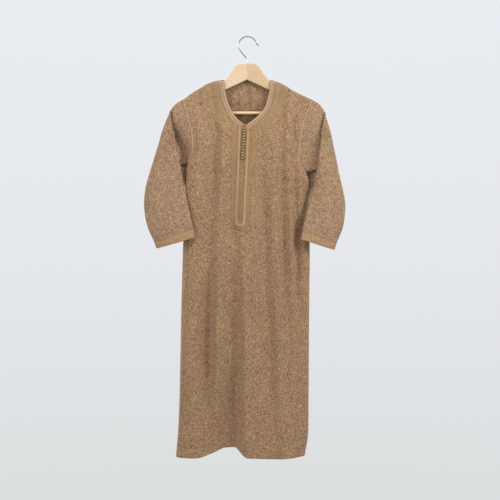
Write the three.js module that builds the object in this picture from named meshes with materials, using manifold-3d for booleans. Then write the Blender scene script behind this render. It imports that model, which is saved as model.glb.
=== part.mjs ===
// A long kaftan with straight set-in sleeves, hanging from a wooden hanger.
// Millimetres, +Z up, the front faces -Y. The origin is the point inside the top of the hook
// where the hook bears on a rail.
import * as THREE from 'three';
import { mergeVertices } from 'three/addons/utils/BufferGeometryUtils.js';
import Module from 'manifold-3d';

const wasm = await Module();
wasm.setup();

// ---------------------------------------------------------------- driving sizes
const CLOTH = 1.8;        // wall of the woven cloth
const BAND = 1.1;         // wall of the smooth bands sewn on the cloth
const BRAID = 1.1;        // wall of the narrow braids
const GAP = 0.3;          // between pieces that meet at a seam
const LIFT = 0.4;         // between a panel and what lies on it
const ARCH = 9.6;         // half-depth of the shoulder, where the cloth bends over the hanger
const HEM_Z = -1276;      // height of the hem
const HEM_LIFT = 24;      // how far the hem is drawn up in its deepest fold
const SLIT_TOP = -1131;   // top of the two side slits
const ARMHOLE_BELLY = 6;  // extra half-depth in the middle of the armhole
const NECK_BRAID_W = 16;  // braid round the neck
const NECK_BAND_W = 58;   // from the neck edge to the outer edge of the wide band
const CUFF_SEAM = 0.35;   // between a sleeve and its cuff

// Hanger
const WOOD = 12;          // thickness of the arms
const ARM_DROP = 4.4;     // from the outside of the cloth down to the wood
const ARM_SLOPE = 0.462;  // lower edge of the arms
const BAR_D = 10;         // trouser bar
const BAR_Z = -231.6;
const WIRE_D = 3.6;       // hook
const HOOK_R = 27.4;      // centre line of the hook's bow

// Buttons: small knotted balls in a close column down the front opening
const BUTTONS = 13;
const BUTTON_D = 8;
const BUTTON_PITCH = 8.3;
const BUTTON_FIRST = { x: -7.0, z: -273.5 };
const BUTTON_LAST_X = -14.2;

// ---------------------------------------------------------------- tables
// Side edges and depth by height. Above the armpits left and right are the armhole seams.
// front and back: how far each panel stands off the plane of the shoulders.
const BODY = [
  { z: -186, left: -193, right: 201, front: 9, back: 9 },
  { z: -207, left: -191, right: 194, front: 13, back: 11 },
  { z: -238, left: -183, right: 181, front: 19, back: 14 },
  { z: -268, left: -174, right: 170, front: 25, back: 17 },
  { z: -308, left: -166, right: 163, front: 29, back: 20 },
  { z: -344, left: -166, right: 159, front: 31, back: 22 },
  { z: -369, left: -174, right: 157, front: 32, back: 23 },
  { z: -384, left: -181, right: 160, front: 32, back: 24 },
  { z: -399, left: -184, right: 169, front: 32, back: 24 },
  { z: -414, left: -186, right: 181, front: 32, back: 24 },
  { z: -442, left: -187, right: 190, front: 33, back: 25 },
  { z: -497, left: -189, right: 192, front: 33, back: 25 },
  { z: -634, left: -195, right: 192, front: 33, back: 25 },
  { z: -802, left: -200, right: 190, front: 34, back: 26 },
  { z: -954, left: -203, right: 189, front: 35, back: 27 },
  { z: -1107, left: -206, right: 188, front: 37, back: 29 },
  { z: -1198, left: -210, right: 187, front: 39, back: 30 },
  { z: -1285, left: -217, right: 174, front: 40, back: 31 },
];
const ARMPIT = { left: -384, right: -414 };

// Top line of the cloth from one sleeve head to the other. Between the neck points it rises,
// so that the back neck edge stands behind the hanger.
const SHOULDER = [
  { x: -223, z: -205.6 }, { x: -210.5, z: -199.8 }, { x: -192, z: -189.6 }, { x: -174, z: -175.4 },
  { x: -149.5, z: -159.2 }, { x: -125, z: -146.1 }, { x: -100.7, z: -136.3 }, { x: -76.5, z: -131.8 },
  { x: -62, z: -119.6 }, { x: -44, z: -117.8 }, { x: 44, z: -117.8 }, { x: 62, z: -119.8 },
  { x: 76.5, z: -132.6 }, { x: 100.7, z: -141.0 }, { x: 125, z: -154.2 }, { x: 149.5, z: -168.0 },
  { x: 174, z: -179.6 }, { x: 198.5, z: -191.2 }, { x: 216.6, z: -202.4 }, { x: 229, z: -211.7 },
];

// Front neck edge by height, from the neck points down to the V
const NECK = [
  { z: -133.4, left: -74.3, right: 74.3 },
  { z: -144.7, left: -68.4, right: 69.6 },
  { z: -163.3, left: -65.9, right: 67.5 },
  { z: -181.9, left: -62.5, right: 64.1 },
  { z: -200.4, left: -57.6, right: 59.5 },
  { z: -219.1, left: -49.3, right: 51.6 },
  { z: -234.5, left: -41.7, right: 39.7 },
  { z: -246.8, left: -33.2, right: 27.9 },
  { z: -259.1, left: -21.7, right: 13.4 },
  { z: -269.5, left: -7.2, right: -1.5 },
];
const BACK_NECK = { side: 74.3, sideZ: -133, midZ: -126.8 };

// The long soft folds. x: middle of the trough; in: how far it goes in; wl and wr: its
// half-widths to the left and right; each at four heights.
const FOLD_Z = [-314, -634, -954, -1276];
const FRONT_FOLDS = [
  { name: 'A', x: [-95, -107, -113, -122], in: [3, 8, 11, 6], wl: [40, 42, 45, 40], wr: [38, 40, 42, 45] },
  { name: 'B', x: [-40, -38, -34, -48], in: [0, 8, 20, 48], wl: [40, 45, 55, 88], wr: [26, 27, 30, 48] },
  { name: 'C', x: [45, 60, 73, 85], in: [2, 7, 8, 3], wl: [26, 30, 34, 36], wr: [24, 26, 30, 36] },
  { name: 'D', x: [104, 113, 125, 134], in: [5, 8, 6, 2], wl: [24, 24, 26, 30], wr: [20, 22, 26, 30] },
  { name: 'E', x: [140, 152, 158, 158], in: [4, 13, 6, 8], wl: [16, 18, 24, 26], wr: [24, 26, 28, 26] },
];
const BACK_FOLDS = [
  { name: 'F', x: [-120, -132, -140, -146], in: [2, 7, 10, 12], wl: [30, 32, 36, 38], wr: [34, 36, 40, 44] },
  { name: 'G', x: [-50, -58, -62, -58], in: [0, 5, 9, 10], wl: [34, 38, 42, 46], wr: [30, 32, 36, 40] },
  { name: 'H', x: [30, 26, 22, 26], in: [2, 8, 13, 17], wl: [32, 34, 36, 40], wr: [36, 38, 42, 46] },
  { name: 'I', x: [105, 108, 114, 118], in: [4, 9, 11, 14], wl: [30, 32, 34, 36], wr: [28, 30, 32, 34] },
];

// Sleeve sections, from the armhole seam to the end of the cuff. o: outer end of the flattened
// section, i: inner end, both as x, y, z; bow: sideways bend of the section; top, mid and low:
// how far the front layer stands off the line o-i; back: the same for the back layer.
// Between valley and lip the cloth doubles forward over the crease under the arm.
const SLEEVES = {
  left: [
    { ring: 'head', ox: -215, oz: -202.5, oy: 0, ix: -189, iz: -388, iy: 0, bow: 7, top: 14, mid: 16, low: 11, back: 14 },
    { ring: 'valley', ox: -230, oz: -219, oy: -1, ix: -197, iz: -391, iy: -2, bow: -4, top: 11, mid: 4, low: 5, back: 10 },
    { ring: 'lip', ox: -233, oz: -225, oy: -4, ix: -202, iz: -396, iy: -9, bow: -2, top: 17, mid: 25, low: 19, back: 9 },
    { ring: 'r4', ox: -245, oz: -252, oy: -5, ix: -198, iz: -417, iy: -10, bow: 1, top: 17, mid: 25, low: 20, back: 10 },
    { ring: 'r5', ox: -258, oz: -286, oy: -6, ix: -194, iz: -439, iy: -12, bow: 2, top: 17, mid: 24, low: 19, back: 11 },
    { ring: 'r6', ox: -269, oz: -325, oy: -7, ix: -190, iz: -460, iy: -15, bow: 2, top: 17, mid: 22, low: 17, back: 11 },
    { ring: 'r7', ox: -282, oz: -368, oy: -8, ix: -185, iz: -482, iy: -19, bow: 1, top: 16, mid: 20, low: 15, back: 11 },
    { ring: 'r8', ox: -296, oz: -414, oy: -9, ix: -180, iz: -503, iy: -23, bow: 1, top: 15, mid: 19, low: 14, back: 11 },
    { ring: 'r9', ox: -308, oz: -459, oy: -10, ix: -175, iz: -524, iy: -29, bow: 0, top: 15, mid: 18, low: 13, back: 11 },
    { ring: 'r10', ox: -313, oz: -508, oy: -11, ix: -170, iz: -546, iy: -34, bow: 0, top: 15, mid: 17, low: 12, back: 11 },
    { ring: 'r11', ox: -306, oz: -565, oy: -12, ix: -165, iz: -567, iy: -37, bow: 0, top: 15, mid: 17, low: 12, back: 11 },
    { ring: 'end', ox: -281, oz: -627, oy: -13, ix: -161, iz: -588, iy: -39, bow: 0, top: 15, mid: 17, low: 12, back: 11 },
    { ring: 'cuff', ox: -274, oz: -645, oy: -14, ix: -157, iz: -612, iy: -40, bow: 0, top: 15, mid: 17, low: 12, back: 11 },
  ],
  right: [
    { ring: 'head', ox: 219, oz: -204.5, oy: 0, ix: 191, iz: -413, iy: 0, bow: -8, top: 14, mid: 16, low: 11, back: 14 },
    { ring: 'valley', ox: 233, oz: -221, oy: -1, ix: 207, iz: -411, iy: -2, bow: -2, top: 11, mid: 4, low: 5, back: 10 },
    { ring: 'lip', ox: 237, oz: -231, oy: -4, ix: 213, iz: -412, iy: -9, bow: -2, top: 17, mid: 25, low: 19, back: 9 },
    { ring: 'r4', ox: 243, oz: -258, oy: -5, ix: 208, iz: -432, iy: -10, bow: -1, top: 17, mid: 25, low: 20, back: 10 },
    { ring: 'r5', ox: 251, oz: -292, oy: -6, ix: 203, iz: -453, iy: -12, bow: 0, top: 17, mid: 24, low: 19, back: 11 },
    { ring: 'r6', ox: 258, oz: -331, oy: -7, ix: 198, iz: -474, iy: -15, bow: 0, top: 17, mid: 22, low: 17, back: 11 },
    { ring: 'r7', ox: 267, oz: -374, oy: -8, ix: 192, iz: -494, iy: -19, bow: 0, top: 16, mid: 20, low: 15, back: 11 },
    { ring: 'r8', ox: 276, oz: -420, oy: -9, ix: 186, iz: -515, iy: -23, bow: 0, top: 15, mid: 19, low: 14, back: 11 },
    { ring: 'r9', ox: 288, oz: -468, oy: -10, ix: 180, iz: -536, iy: -28, bow: 0, top: 15, mid: 18, low: 13, back: 11 },
    { ring: 'r10', ox: 296, oz: -517, oy: -11, ix: 175, iz: -556, iy: -33, bow: 0, top: 15, mid: 17, low: 12, back: 11 },
    { ring: 'r11', ox: 291, oz: -571, oy: -12, ix: 170, iz: -576, iy: -36, bow: 0, top: 15, mid: 17, low: 12, back: 11 },
    { ring: 'end', ox: 272, oz: -629, oy: -13, ix: 167, iz: -595, iy: -38, bow: 0, top: 15, mid: 17, low: 12, back: 11 },
    { ring: 'cuff', ox: 265, oz: -649, oy: -14, ix: 162, iz: -617, iy: -39, bow: 0, top: 15, mid: 17, low: 12, back: 11 },
  ],
};

// Placket: half-widths left and right of its middle line by height, and the loop of braid on it
const PLACKET = [
  { z: -285, mid: -7.5, outL: 38, outR: 40, inL: 14.5, inR: 10.5 },
  { z: -345, mid: -9.5, outL: 36, outR: 39, inL: 14.5, inR: 10.5 },
  { z: -440, mid: -13.5, outL: 32, outR: 27, inL: 14.0, inR: 10.5 },
  { z: -545, mid: -18.5, outL: 28, outR: 26, inL: 13.5, inR: 10.5 },
  { z: -590, mid: -19.5, outL: 25, outR: 25, inL: 13.0, inR: 11.5 },
];
const PLACKET_END = { out: -591, in: -575 };  // lowest points of the two rounded ends
const SLIT = { topX: -4.5, endX: -14.6, endZ: -384, width: 1.0 };
const LOOP_BRAID_W = 5;

// ---------------------------------------------------------------- helpers
const clamp = (v, a, b) => Math.min(b, Math.max(a, v));
const lerp = (a, b, t) => a + (b - a) * t;
const smooth = (a, b, v) => { const t = clamp((v - a) / (b - a), 0, 1); return t * t * (3 - 2 * t); };

// Monotone cubic through the rows of a table
function curve(rows, key, col) {
  const r = [...rows].sort((p, q) => p[key] - q[key]);
  const x = r.map((p) => p[key]);
  const y = r.map((p) => p[col]);
  const n = x.length;
  const d = x.slice(1).map((v, i) => (y[i + 1] - y[i]) / (v - x[i]));
  const m = y.map((v, i) => {
    if (i === 0) return d[0];
    if (i === n - 1) return d[n - 2];
    return d[i - 1] * d[i] <= 0 ? 0 : (2 * d[i - 1] * d[i]) / (d[i - 1] + d[i]);
  });
  return (v) => {
    if (v <= x[0]) return y[0];
    if (v >= x[n - 1]) return y[n - 1];
    let i = 0;
    while (v > x[i + 1]) i += 1;
    const h = x[i + 1] - x[i];
    const t = (v - x[i]) / h;
    return y[i] * (1 + 2 * t) * (1 - t) ** 2 + h * m[i] * t * (1 - t) ** 2
      + y[i + 1] * t * t * (3 - 2 * t) + h * m[i + 1] * t * t * (t - 1);
  };
}

const V = (x, y, z) => new THREE.Vector3(x, y, z);

// A closed wall between two grids of points. wrap: the rows are rings.
function wall(outer, inner, wrap) {
  const rows = outer.length;
  const cols = outer[0].length;
  const pts = [];
  for (const grid of [outer, inner]) for (const row of grid) for (const p of row) pts.push(p.x, p.y, p.z);
  const id = (side, r, c) => side * rows * cols + r * cols + (c % cols);
  const tri = [];
  const quad = (a, b, c, d) => tri.push(a, b, c, a, c, d);
  const last = wrap ? cols : cols - 1;
  for (let r = 0; r < rows - 1; r += 1) {
    for (let c = 0; c < last; c += 1) {
      quad(id(0, r, c), id(0, r, c + 1), id(0, r + 1, c + 1), id(0, r + 1, c));
      quad(id(1, r, c), id(1, r + 1, c), id(1, r + 1, c + 1), id(1, r, c + 1));
    }
  }
  for (let c = 0; c < last; c += 1) {
    quad(id(0, 0, c), id(1, 0, c), id(1, 0, c + 1), id(0, 0, c + 1));
    quad(id(0, rows - 1, c), id(0, rows - 1, c + 1), id(1, rows - 1, c + 1), id(1, rows - 1, c));
  }
  if (!wrap) {
    for (let r = 0; r < rows - 1; r += 1) {
      quad(id(0, r, 0), id(0, r + 1, 0), id(1, r + 1, 0), id(1, r, 0));
      quad(id(0, r, cols - 1), id(1, r, cols - 1), id(1, r + 1, cols - 1), id(0, r + 1, cols - 1));
    }
  }
  const g = new THREE.BufferGeometry();
  g.setAttribute('position', new THREE.BufferAttribute(new Float32Array(pts), 3));
  g.setIndex(tri);
  if (volume(g) < 0) for (let i = 0; i < tri.length; i += 3) [tri[i + 1], tri[i + 2]] = [tri[i + 2], tri[i + 1]];
  g.setIndex(tri);
  return g;
}

function volume(g) {
  const p = g.attributes.position;
  const ix = g.index;
  const a = V(0, 0, 0); const b = V(0, 0, 0); const c = V(0, 0, 0);
  let v = 0;
  for (let i = 0; i < ix.count; i += 3) {
    a.fromBufferAttribute(p, ix.getX(i)); b.fromBufferAttribute(p, ix.getX(i + 1)); c.fromBufferAttribute(p, ix.getX(i + 2));
    v += a.dot(b.cross(c));
  }
  return v / 6;
}

// Normals of a grid, from the sum of the faces round each point
function gridNormals(grid, wrap) {
  const rows = grid.length;
  const cols = grid[0].length;
  const n = grid.map((row) => row.map(() => V(0, 0, 0)));
  const last = wrap ? cols : cols - 1;
  for (let r = 0; r < rows - 1; r += 1) {
    for (let c = 0; c < last; c += 1) {
      const c1 = (c + 1) % cols;
      const d1 = grid[r + 1][c1].clone().sub(grid[r][c]);
      const d2 = grid[r + 1][c].clone().sub(grid[r][c1]);
      const f = d1.cross(d2);
      for (const [i, j] of [[r, c], [r, c1], [r + 1, c], [r + 1, c1]]) n[i][j].add(f);
    }
  }
  n.forEach((row) => row.forEach((v) => v.normalize()));
  return n;
}

function toManifold(geometry) {
  const g = geometry.clone();
  g.deleteAttribute('normal');
  g.deleteAttribute('uv');
  const m = mergeVertices(g, 1e-4);
  return new wasm.Manifold(new wasm.Mesh({
    numProp: 3,
    vertProperties: new Float32Array(m.attributes.position.array),
    triVerts: new Uint32Array(m.index.array),
  }));
}

function toGeometry(solid) {
  const mesh = solid.getMesh();
  const g = new THREE.BufferGeometry();
  g.setAttribute('position', new THREE.BufferAttribute(new Float32Array(mesh.vertProperties), 3));
  g.setIndex(new THREE.BufferAttribute(new Uint32Array(mesh.triVerts), 1));
  return g;
}

// A prism along Y over an outline in X and Z, from y0 to y1
function prism(outline, y0, y1) {
  const shape = new THREE.Shape(outline.map(([x, z]) => new THREE.Vector2(x, z)));
  const g = new THREE.ExtrudeGeometry(shape, { depth: y1 - y0, bevelEnabled: false });
  g.rotateX(Math.PI / 2);
  g.translate(0, y1, 0);
  return toManifold(g);
}

// Moves an outline's points sideways by w, with mitred corners
function offsetLine(pts, w) {
  return pts.map(([x, z], i) => {
    const a = pts[Math.max(0, i - 1)];
    const b = pts[Math.min(pts.length - 1, i + 1)];
    const n1 = i > 0 ? unit(z - a[1], -(x - a[0])) : null;
    const n2 = i < pts.length - 1 ? unit(b[1] - z, -(b[0] - x)) : null;
    const n = n1 && n2 ? unit(n1[0] + n2[0], n1[1] + n2[1]) : (n1 || n2);
    const cos = n1 ? n[0] * n1[0] + n[1] * n1[1] : 1;
    return [x + (n[0] * w) / Math.max(0.4, cos), z + (n[1] * w) / Math.max(0.4, cos)];
  });
}
const unit = (x, y) => { const l = Math.hypot(x, y) || 1; return [x / l, y / l]; };

// ---------------------------------------------------------------- body panels
const edgeX = { left: curve(BODY, 'z', 'left'), right: curve(BODY, 'z', 'right') };
const depthAt = { front: curve(BODY, 'z', 'front'), back: curve(BODY, 'z', 'back') };
const shoulderZ = curve(SHOULDER, 'x', 'z');

const xAt = (s, z) => lerp(edgeX.left(z), edgeX.right(z), (s + 1) / 2);
const sAt = (x, z) => (2 * (x - edgeX.left(z))) / (edgeX.right(z) - edgeX.left(z)) - 1;
const arch = (h) => ARCH * Math.sqrt(Math.max(0, 1 - (1 - clamp(h / ARCH, 0, 1)) ** 2));

const tipZ = (side) => {
  let z = -190;
  for (let i = 0; i < 30; i += 1) z = shoulderZ(edgeX[side](z));
  return z;
};
const TIP = { left: tipZ('left'), right: tipZ('right') };

// One fold: a rounded trough, wider on one side than on the other
function foldIn(folds, x, z) {
  const v = FOLD_Z;
  let i = 0;
  const zz = clamp(z, v[3], v[0]);
  while (i < 2 && zz < v[i + 1]) i += 1;
  const t = smooth(0, 1, (v[i] - zz) / (v[i] - v[i + 1]));
  const above = z > v[0] ? 1 - smooth(v[0], v[0] + 110, z) : 1;
  let sum = 0;
  for (const f of folds) {
    const at = (k) => lerp(f[k][i], f[k][i + 1], t);
    const u = (x - at('x')) / (x < at('x') ? at('wl') : at('wr'));
    if (Math.abs(u) < 1) sum += at('in') * above * (0.5 + 0.5 * Math.cos(Math.PI * u));
  }
  return sum;
}

// Half-depth of the body at a point: 0 at the shoulder line, the armhole's half-gap at the
// armhole edge and 0 again down the side seams
function halfDepth(side, s, z, x) {
  const lr = s < 0 ? 'left' : 'right';
  const a = (TIP[lr] - z) / (TIP[lr] - ARMPIT[lr]);
  const h = shoulderZ(x) - z;
  const full = ARCH + (Math.max(ARCH, depthAt[side](z)) - ARCH) * (1 - Math.exp(-Math.max(0, h) / 60));
  const close = Math.sqrt(Math.max(0, 1 - clamp(a, 0, 1) ** 6));
  const edge = (ARCH + ARMHOLE_BELLY * Math.sin(Math.PI * clamp(a, 0, 1))) * close;
  const power = a < 1 ? 0.5 + 0.5 * (1 - smooth(0.72, 1, a)) : 0.5;
  const open = z < SLIT_TOP ? 5 * smooth(SLIT_TOP, HEM_Z, z) : 0;
  const e = (1 - Math.abs(s) ** 8) ** power;
  const d = edge + open + (full - edge - open) * e;
  return (GAP / 2) + d * (arch(h) / ARCH);
}

function bodyY(side, s, z) {
  const x = xAt(s, z);
  const fold = foldIn(side === 'front' ? FRONT_FOLDS : BACK_FOLDS, x, z) * (1 - Math.abs(s) ** 10);
  const d = halfDepth(side, s, z, x) - fold;
  return side === 'front' ? -d : d;
}

const hemZ = (s) => {
  const x = xAt(s, HEM_Z);
  const u = (x + 48) / (x < -48 ? 92 : 50);
  return HEM_Z + (Math.abs(u) < 1 ? HEM_LIFT * (0.5 + 0.5 * Math.cos(Math.PI * u)) : 0);
};

const topZ = (s) => {
  let z = -150;
  for (let i = 0; i < 40; i += 1) z = lerp(z, shoulderZ(xAt(s, z)), 0.7);
  return z;
};

const ARCH_ROWS = [0, 0.14, 0.5, 1];
const CHEST_ROWS = [0.15, 0.3, 0.45, 0.6, 0.74, 0.87, 0.95, 1];
const ARM_POINTS = ARCH_ROWS.length + CHEST_ROWS.length;

// Height of row r at column s, from the shoulder line down to the armpits
function chestZ(s, r) {
  const top = topZ(s);
  if (r < ARCH_ROWS.length) return top - ARCH_ROWS[r] * ARCH;
  const f = CHEST_ROWS[r - ARCH_ROWS.length];
  return lerp(top - ARCH, lerp(ARMPIT.left, ARMPIT.right, (s + 1) / 2), f);
}

function panelGrid(side, columns, skirt) {
  const half = Math.floor(columns / 2);
  const edge = [1, 0.993, 0.975, 0.935];
  const inside = [];
  const n = columns - 2 * edge.length;
  for (let i = 0; i < n; i += 1) inside.push(-0.87 + (1.74 * i) / (n - 1));
  const cols = [...edge.map((v) => -v), ...inside, ...[...edge].reverse()];
  const grid = [];
  for (let r = 0; r < ARM_POINTS; r += 1) grid.push(cols.map((s) => [s, chestZ(s, r)]));
  for (let r = 1; r <= skirt; r += 1) {
    grid.push(cols.map((s) => [s, lerp(lerp(ARMPIT.left, ARMPIT.right, (s + 1) / 2), hemZ(s), (r / skirt) ** 1.05)]));
  }
  return grid.map((row) => row.map(([s, z]) => V(xAt(s, z), bodyY(side, s, z), z)));
}

// Moves a panel's points along its normals: positive is outwards. On the shoulder line and on
// the side seams the points stay in the plane of the seam.
function moved(side, grid, by) {
  const sign = side === 'front' ? -1 : 1;
  const n = gridNormals(grid, false);
  const cols = grid[0].length;
  return grid.map((row, r) => row.map((p, c) => {
    const v = n[r][c].clone();
    if (v.y * sign < 0) v.negate();
    const seam = r === 0 || ((c === 0 || c === cols - 1) && r >= ARM_POINTS - 1);
    if (seam) {
      v.y = 0;
      if (v.length() < 1e-3) v.set(c === 0 ? -1 : 1, 0, 0);
      if (r === 0) { v.x *= 0.5; if (v.z < 0) v.negate(); }
      if (r > 0 && v.x * (c === 0 ? -1 : 1) < 0) v.negate();
      v.normalize();
    }
    return p.clone().addScaledVector(v, by);
  }));
}

const frontGrid = panelGrid('front', 27, 13);
const backGrid = panelGrid('back', 20, 11);
const frontWall = toManifold(wall(frontGrid, moved('front', frontGrid, -CLOTH), false));
const backWall = toManifold(wall(backGrid, moved('back', backGrid, -CLOTH), false));

// ---------------------------------------------------------------- neck, placket and slit outlines
const neckX = { left: curve(NECK, 'z', 'left'), right: curve(NECK, 'z', 'right') };
const neckLine = (() => {
  const steps = 10;
  const zs = Array.from({ length: steps }, (v, i) => lerp(-134, -269.5, Math.sin((i / (steps - 1)) * Math.PI * 0.5)));
  const l = zs.map((z) => [neckX.left(z), z]);
  const r = zs.map((z) => [neckX.right(z), z]).reverse();
  return [[neckX.left(-134) - 2, -127], ...l, [-4.4, -271], ...r, [neckX.right(-134) + 2, -127]];
})();
const frontNeckCut = prism([[-75.5, -90], ...neckLine, [75.5, -90]], -90, 30);

const backNeckLine = (drop) => {
  const pts = [];
  for (let i = 0; i <= 8; i += 1) {
    const u = -1 + (2 * i) / 8;
    pts.push([u * (BACK_NECK.side - 1), lerp(BACK_NECK.midZ, BACK_NECK.sideZ, u ** 4) - drop]);
  }
  return pts;
};
const backNeckCut = prism([[-BACK_NECK.side, -90], [-BACK_NECK.side, -138], ...backNeckLine(0), [BACK_NECK.side, -138], [BACK_NECK.side, -90]], -30, 90);

const placket = Object.fromEntries(['mid', 'outL', 'outR', 'inL', 'inR'].map((k) => [k, curve(PLACKET, 'z', k)]));

// The outline of the placket or of its loop: down the left, round the end and up the right
function placketOutline(kind, grow, topZL, topZR) {
  const [kl, kr] = kind === 'out' ? ['outL', 'outR'] : ['inL', 'inR'];
  const end = PLACKET_END[kind] - grow;
  const startZ = end + placket[kl](-560) * 0.95;
  const left = [];
  const right = [];
  const side = 6;
  for (let i = 0; i <= side; i += 1) {
    const zl = lerp(topZL, startZ, i / side);
    const zr = lerp(topZR, startZ, i / side);
    left.push([placket.mid(zl) - placket[kl](zl) - grow, zl]);
    right.push([placket.mid(zr) + placket[kr](zr) + grow, zr]);
  }
  const round = [];
  for (let i = 1; i < 6; i += 1) {
    const a = (i / 6) * Math.PI;
    const c = Math.cos(a);
    const w = c > 0 ? placket[kl](startZ) + grow : placket[kr](startZ) + grow;
    round.push([placket.mid(startZ) - w * c, lerp(startZ, end, Math.sin(a))]);
  }
  return [...left, ...round, ...right.reverse()];
}

const slitOutline = (w) => {
  const h = w / 2;
  return [[SLIT.topX - h, -255], [SLIT.topX - h, -272], [SLIT.endX - h, SLIT.endZ], [SLIT.endX + h, SLIT.endZ], [SLIT.topX + h, -272], [SLIT.topX + h, -255]];
};
const slitCut = prism(slitOutline(SLIT.width), -90, 20);

// ---------------------------------------------------------------- layers on the panels
// A layer is the panel's own grid moved out twice; an outline cuts a piece from it.
function layer(side, grid, from, to, rowEnd) {
  const part = grid.slice(0, rowEnd);
  const full = (by) => moved(side, grid, by).slice(0, rowEnd);
  return part.length ? toManifold(wall(full(to), full(from), false)) : null;
}
const frontLayer = layer('front', frontGrid, LIFT, LIFT + BAND, ARM_POINTS + 5);
const frontLayer2 = layer('front', frontGrid, 2 * LIFT + BAND, 2 * LIFT + BAND + BRAID, ARM_POINTS + 5);
const backLayer = layer('back', backGrid, LIFT, LIFT + BAND, ARM_POINTS);

const inner = neckLine.slice(1, -1);
const strip = (line, w0, w1) => [...offsetLine(line, w0), ...offsetLine(line, w1).reverse()];
// the ends run straight up past the shoulder line
const lengthen = (line) => [[line[0][0] - 1.5, -95], ...line, [line[line.length - 1][0] + 1.5, -95]];
const neckSide = -offsetSign(inner);
function offsetSign(line) {
  const mid = offsetLine(line, 1)[Math.floor(line.length / 2)];
  return mid[1] > line[Math.floor(line.length / 2)][1] ? 1 : -1;
}
const off = (w) => w * neckSide;
const neckRing = (w0, w1) => prism(strip(lengthen(inner), off(w0), off(w1)), -90, 5);

const placketSolid = (grow) => prism(placketOutline('out', grow, -262, -262), -90, 5);
const braidHole = prism([[-77, -90], ...offsetLine(lengthen(inner), off(NECK_BRAID_W + GAP)), [77, -90]], -90, 5);

const slitEdge = [[SLIT.topX, -80], [SLIT.topX, -272], [SLIT.endX, SLIT.endZ]];
const besideSlit = (x) => prism([[x, -80], ...slitEdge, [x, SLIT.endZ]], -90, 90);

const neckBraid = frontLayer.intersect(neckRing(0.2, NECK_BRAID_W)).subtract(slitCut);
const neckBand = frontLayer.intersect(neckRing(NECK_BRAID_W + GAP, NECK_BAND_W)).subtract(placketSolid(GAP));
const placketBand = frontLayer.intersect(placketSolid(0)).subtract(braidHole).subtract(slitCut);
const loopRing = prism(placketOutline('in', LOOP_BRAID_W / 2, -262, -262), -90, 5)
  .subtract(prism(placketOutline('in', -LOOP_BRAID_W / 2, -250, -250), -90, 5));
const placketLoop = frontLayer2.intersect(loopRing).subtract(prism([[-77, -90], ...offsetLine(lengthen(inner), off(NECK_BRAID_W + GAP + 0.6)), [77, -90]], -90, 5)).subtract(slitCut);

// the same braid and band across the back of the neck
const backNeckShape = (w, grow) => {
  const side = BACK_NECK.side + w;
  const low = BACK_NECK.midZ - w - grow;
  const r = Math.max(2, w * 0.9);
  const pts = [[-side, -90], [-side, low + r]];
  for (let i = 1; i <= 4; i += 1) { const a = (i / 4) * (Math.PI / 2); pts.push([-side + r * (1 - Math.cos(a)), low + r * (1 - Math.sin(a))]); }
  for (let i = 4; i >= 1; i -= 1) { const a = (i / 4) * (Math.PI / 2); pts.push([side - r * (1 - Math.cos(a)), low + r * (1 - Math.sin(a))]); }
  pts.push([side, low + r], [side, -90]);
  return prism(pts, -5, 90);
};
const backNeckEdge = prism([[-BACK_NECK.side - 0.2, -90], [-BACK_NECK.side - 0.2, -138], ...backNeckLine(0.2), [BACK_NECK.side + 0.2, -138], [BACK_NECK.side + 0.2, -90]], -30, 90);
const backNeckBraid = backLayer.intersect(backNeckShape(NECK_BRAID_W, 4)).subtract(backNeckEdge);
const backNeckBand = backLayer.intersect(backNeckShape(NECK_BAND_W, 0)).subtract(backNeckShape(NECK_BRAID_W + GAP, 4));

// ---------------------------------------------------------------- sleeves and cuffs
const HALF = ARM_POINTS - 1;  // spans of the front half of a ring

function ringTable(row, t0, blend) {
  const o = V(row.ox, row.oy, row.oz);
  const i = V(row.ix, row.iy, row.iz);
  const line = i.clone().sub(o);
  const side = V(-line.z, 0, line.x).normalize();
  if (side.x < 0) side.negate();
  const point = (k, sign) => {
    const th = (Math.PI * k) / HALF;
    const even = (1 - Math.cos(th)) / 2;
    const t = lerp(t0[k], even, blend);
    const th2 = Math.acos(clamp(1 - 2 * t, -1, 1));
    const round = Math.sin(th2) ** (row.ring === 'head' ? 0.42 : 0.75);
    const u = clamp((t - 0.18) / 0.64, 0, 1);
    const f = u < 0.5 ? lerp(row.top, row.mid, smooth(0, 0.5, u)) : lerp(row.mid, row.low, smooth(0.5, 1, u));
    const d = sign < 0 ? -f * round : row.back * round * (1 - 0.35 * smooth(0.5, 1, t) * blend);
    const p = o.clone().addScaledVector(line, t).addScaledVector(side, row.bow * 4 * t * (1 - t));
    p.y += d;
    return p;
  };
  const ring = [];
  for (let k = 0; k <= HALF; k += 1) ring.push(point(k, -1));
  for (let k = HALF - 1; k >= 1; k -= 1) ring.push(point(k, 1));
  return ring;
}

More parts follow.
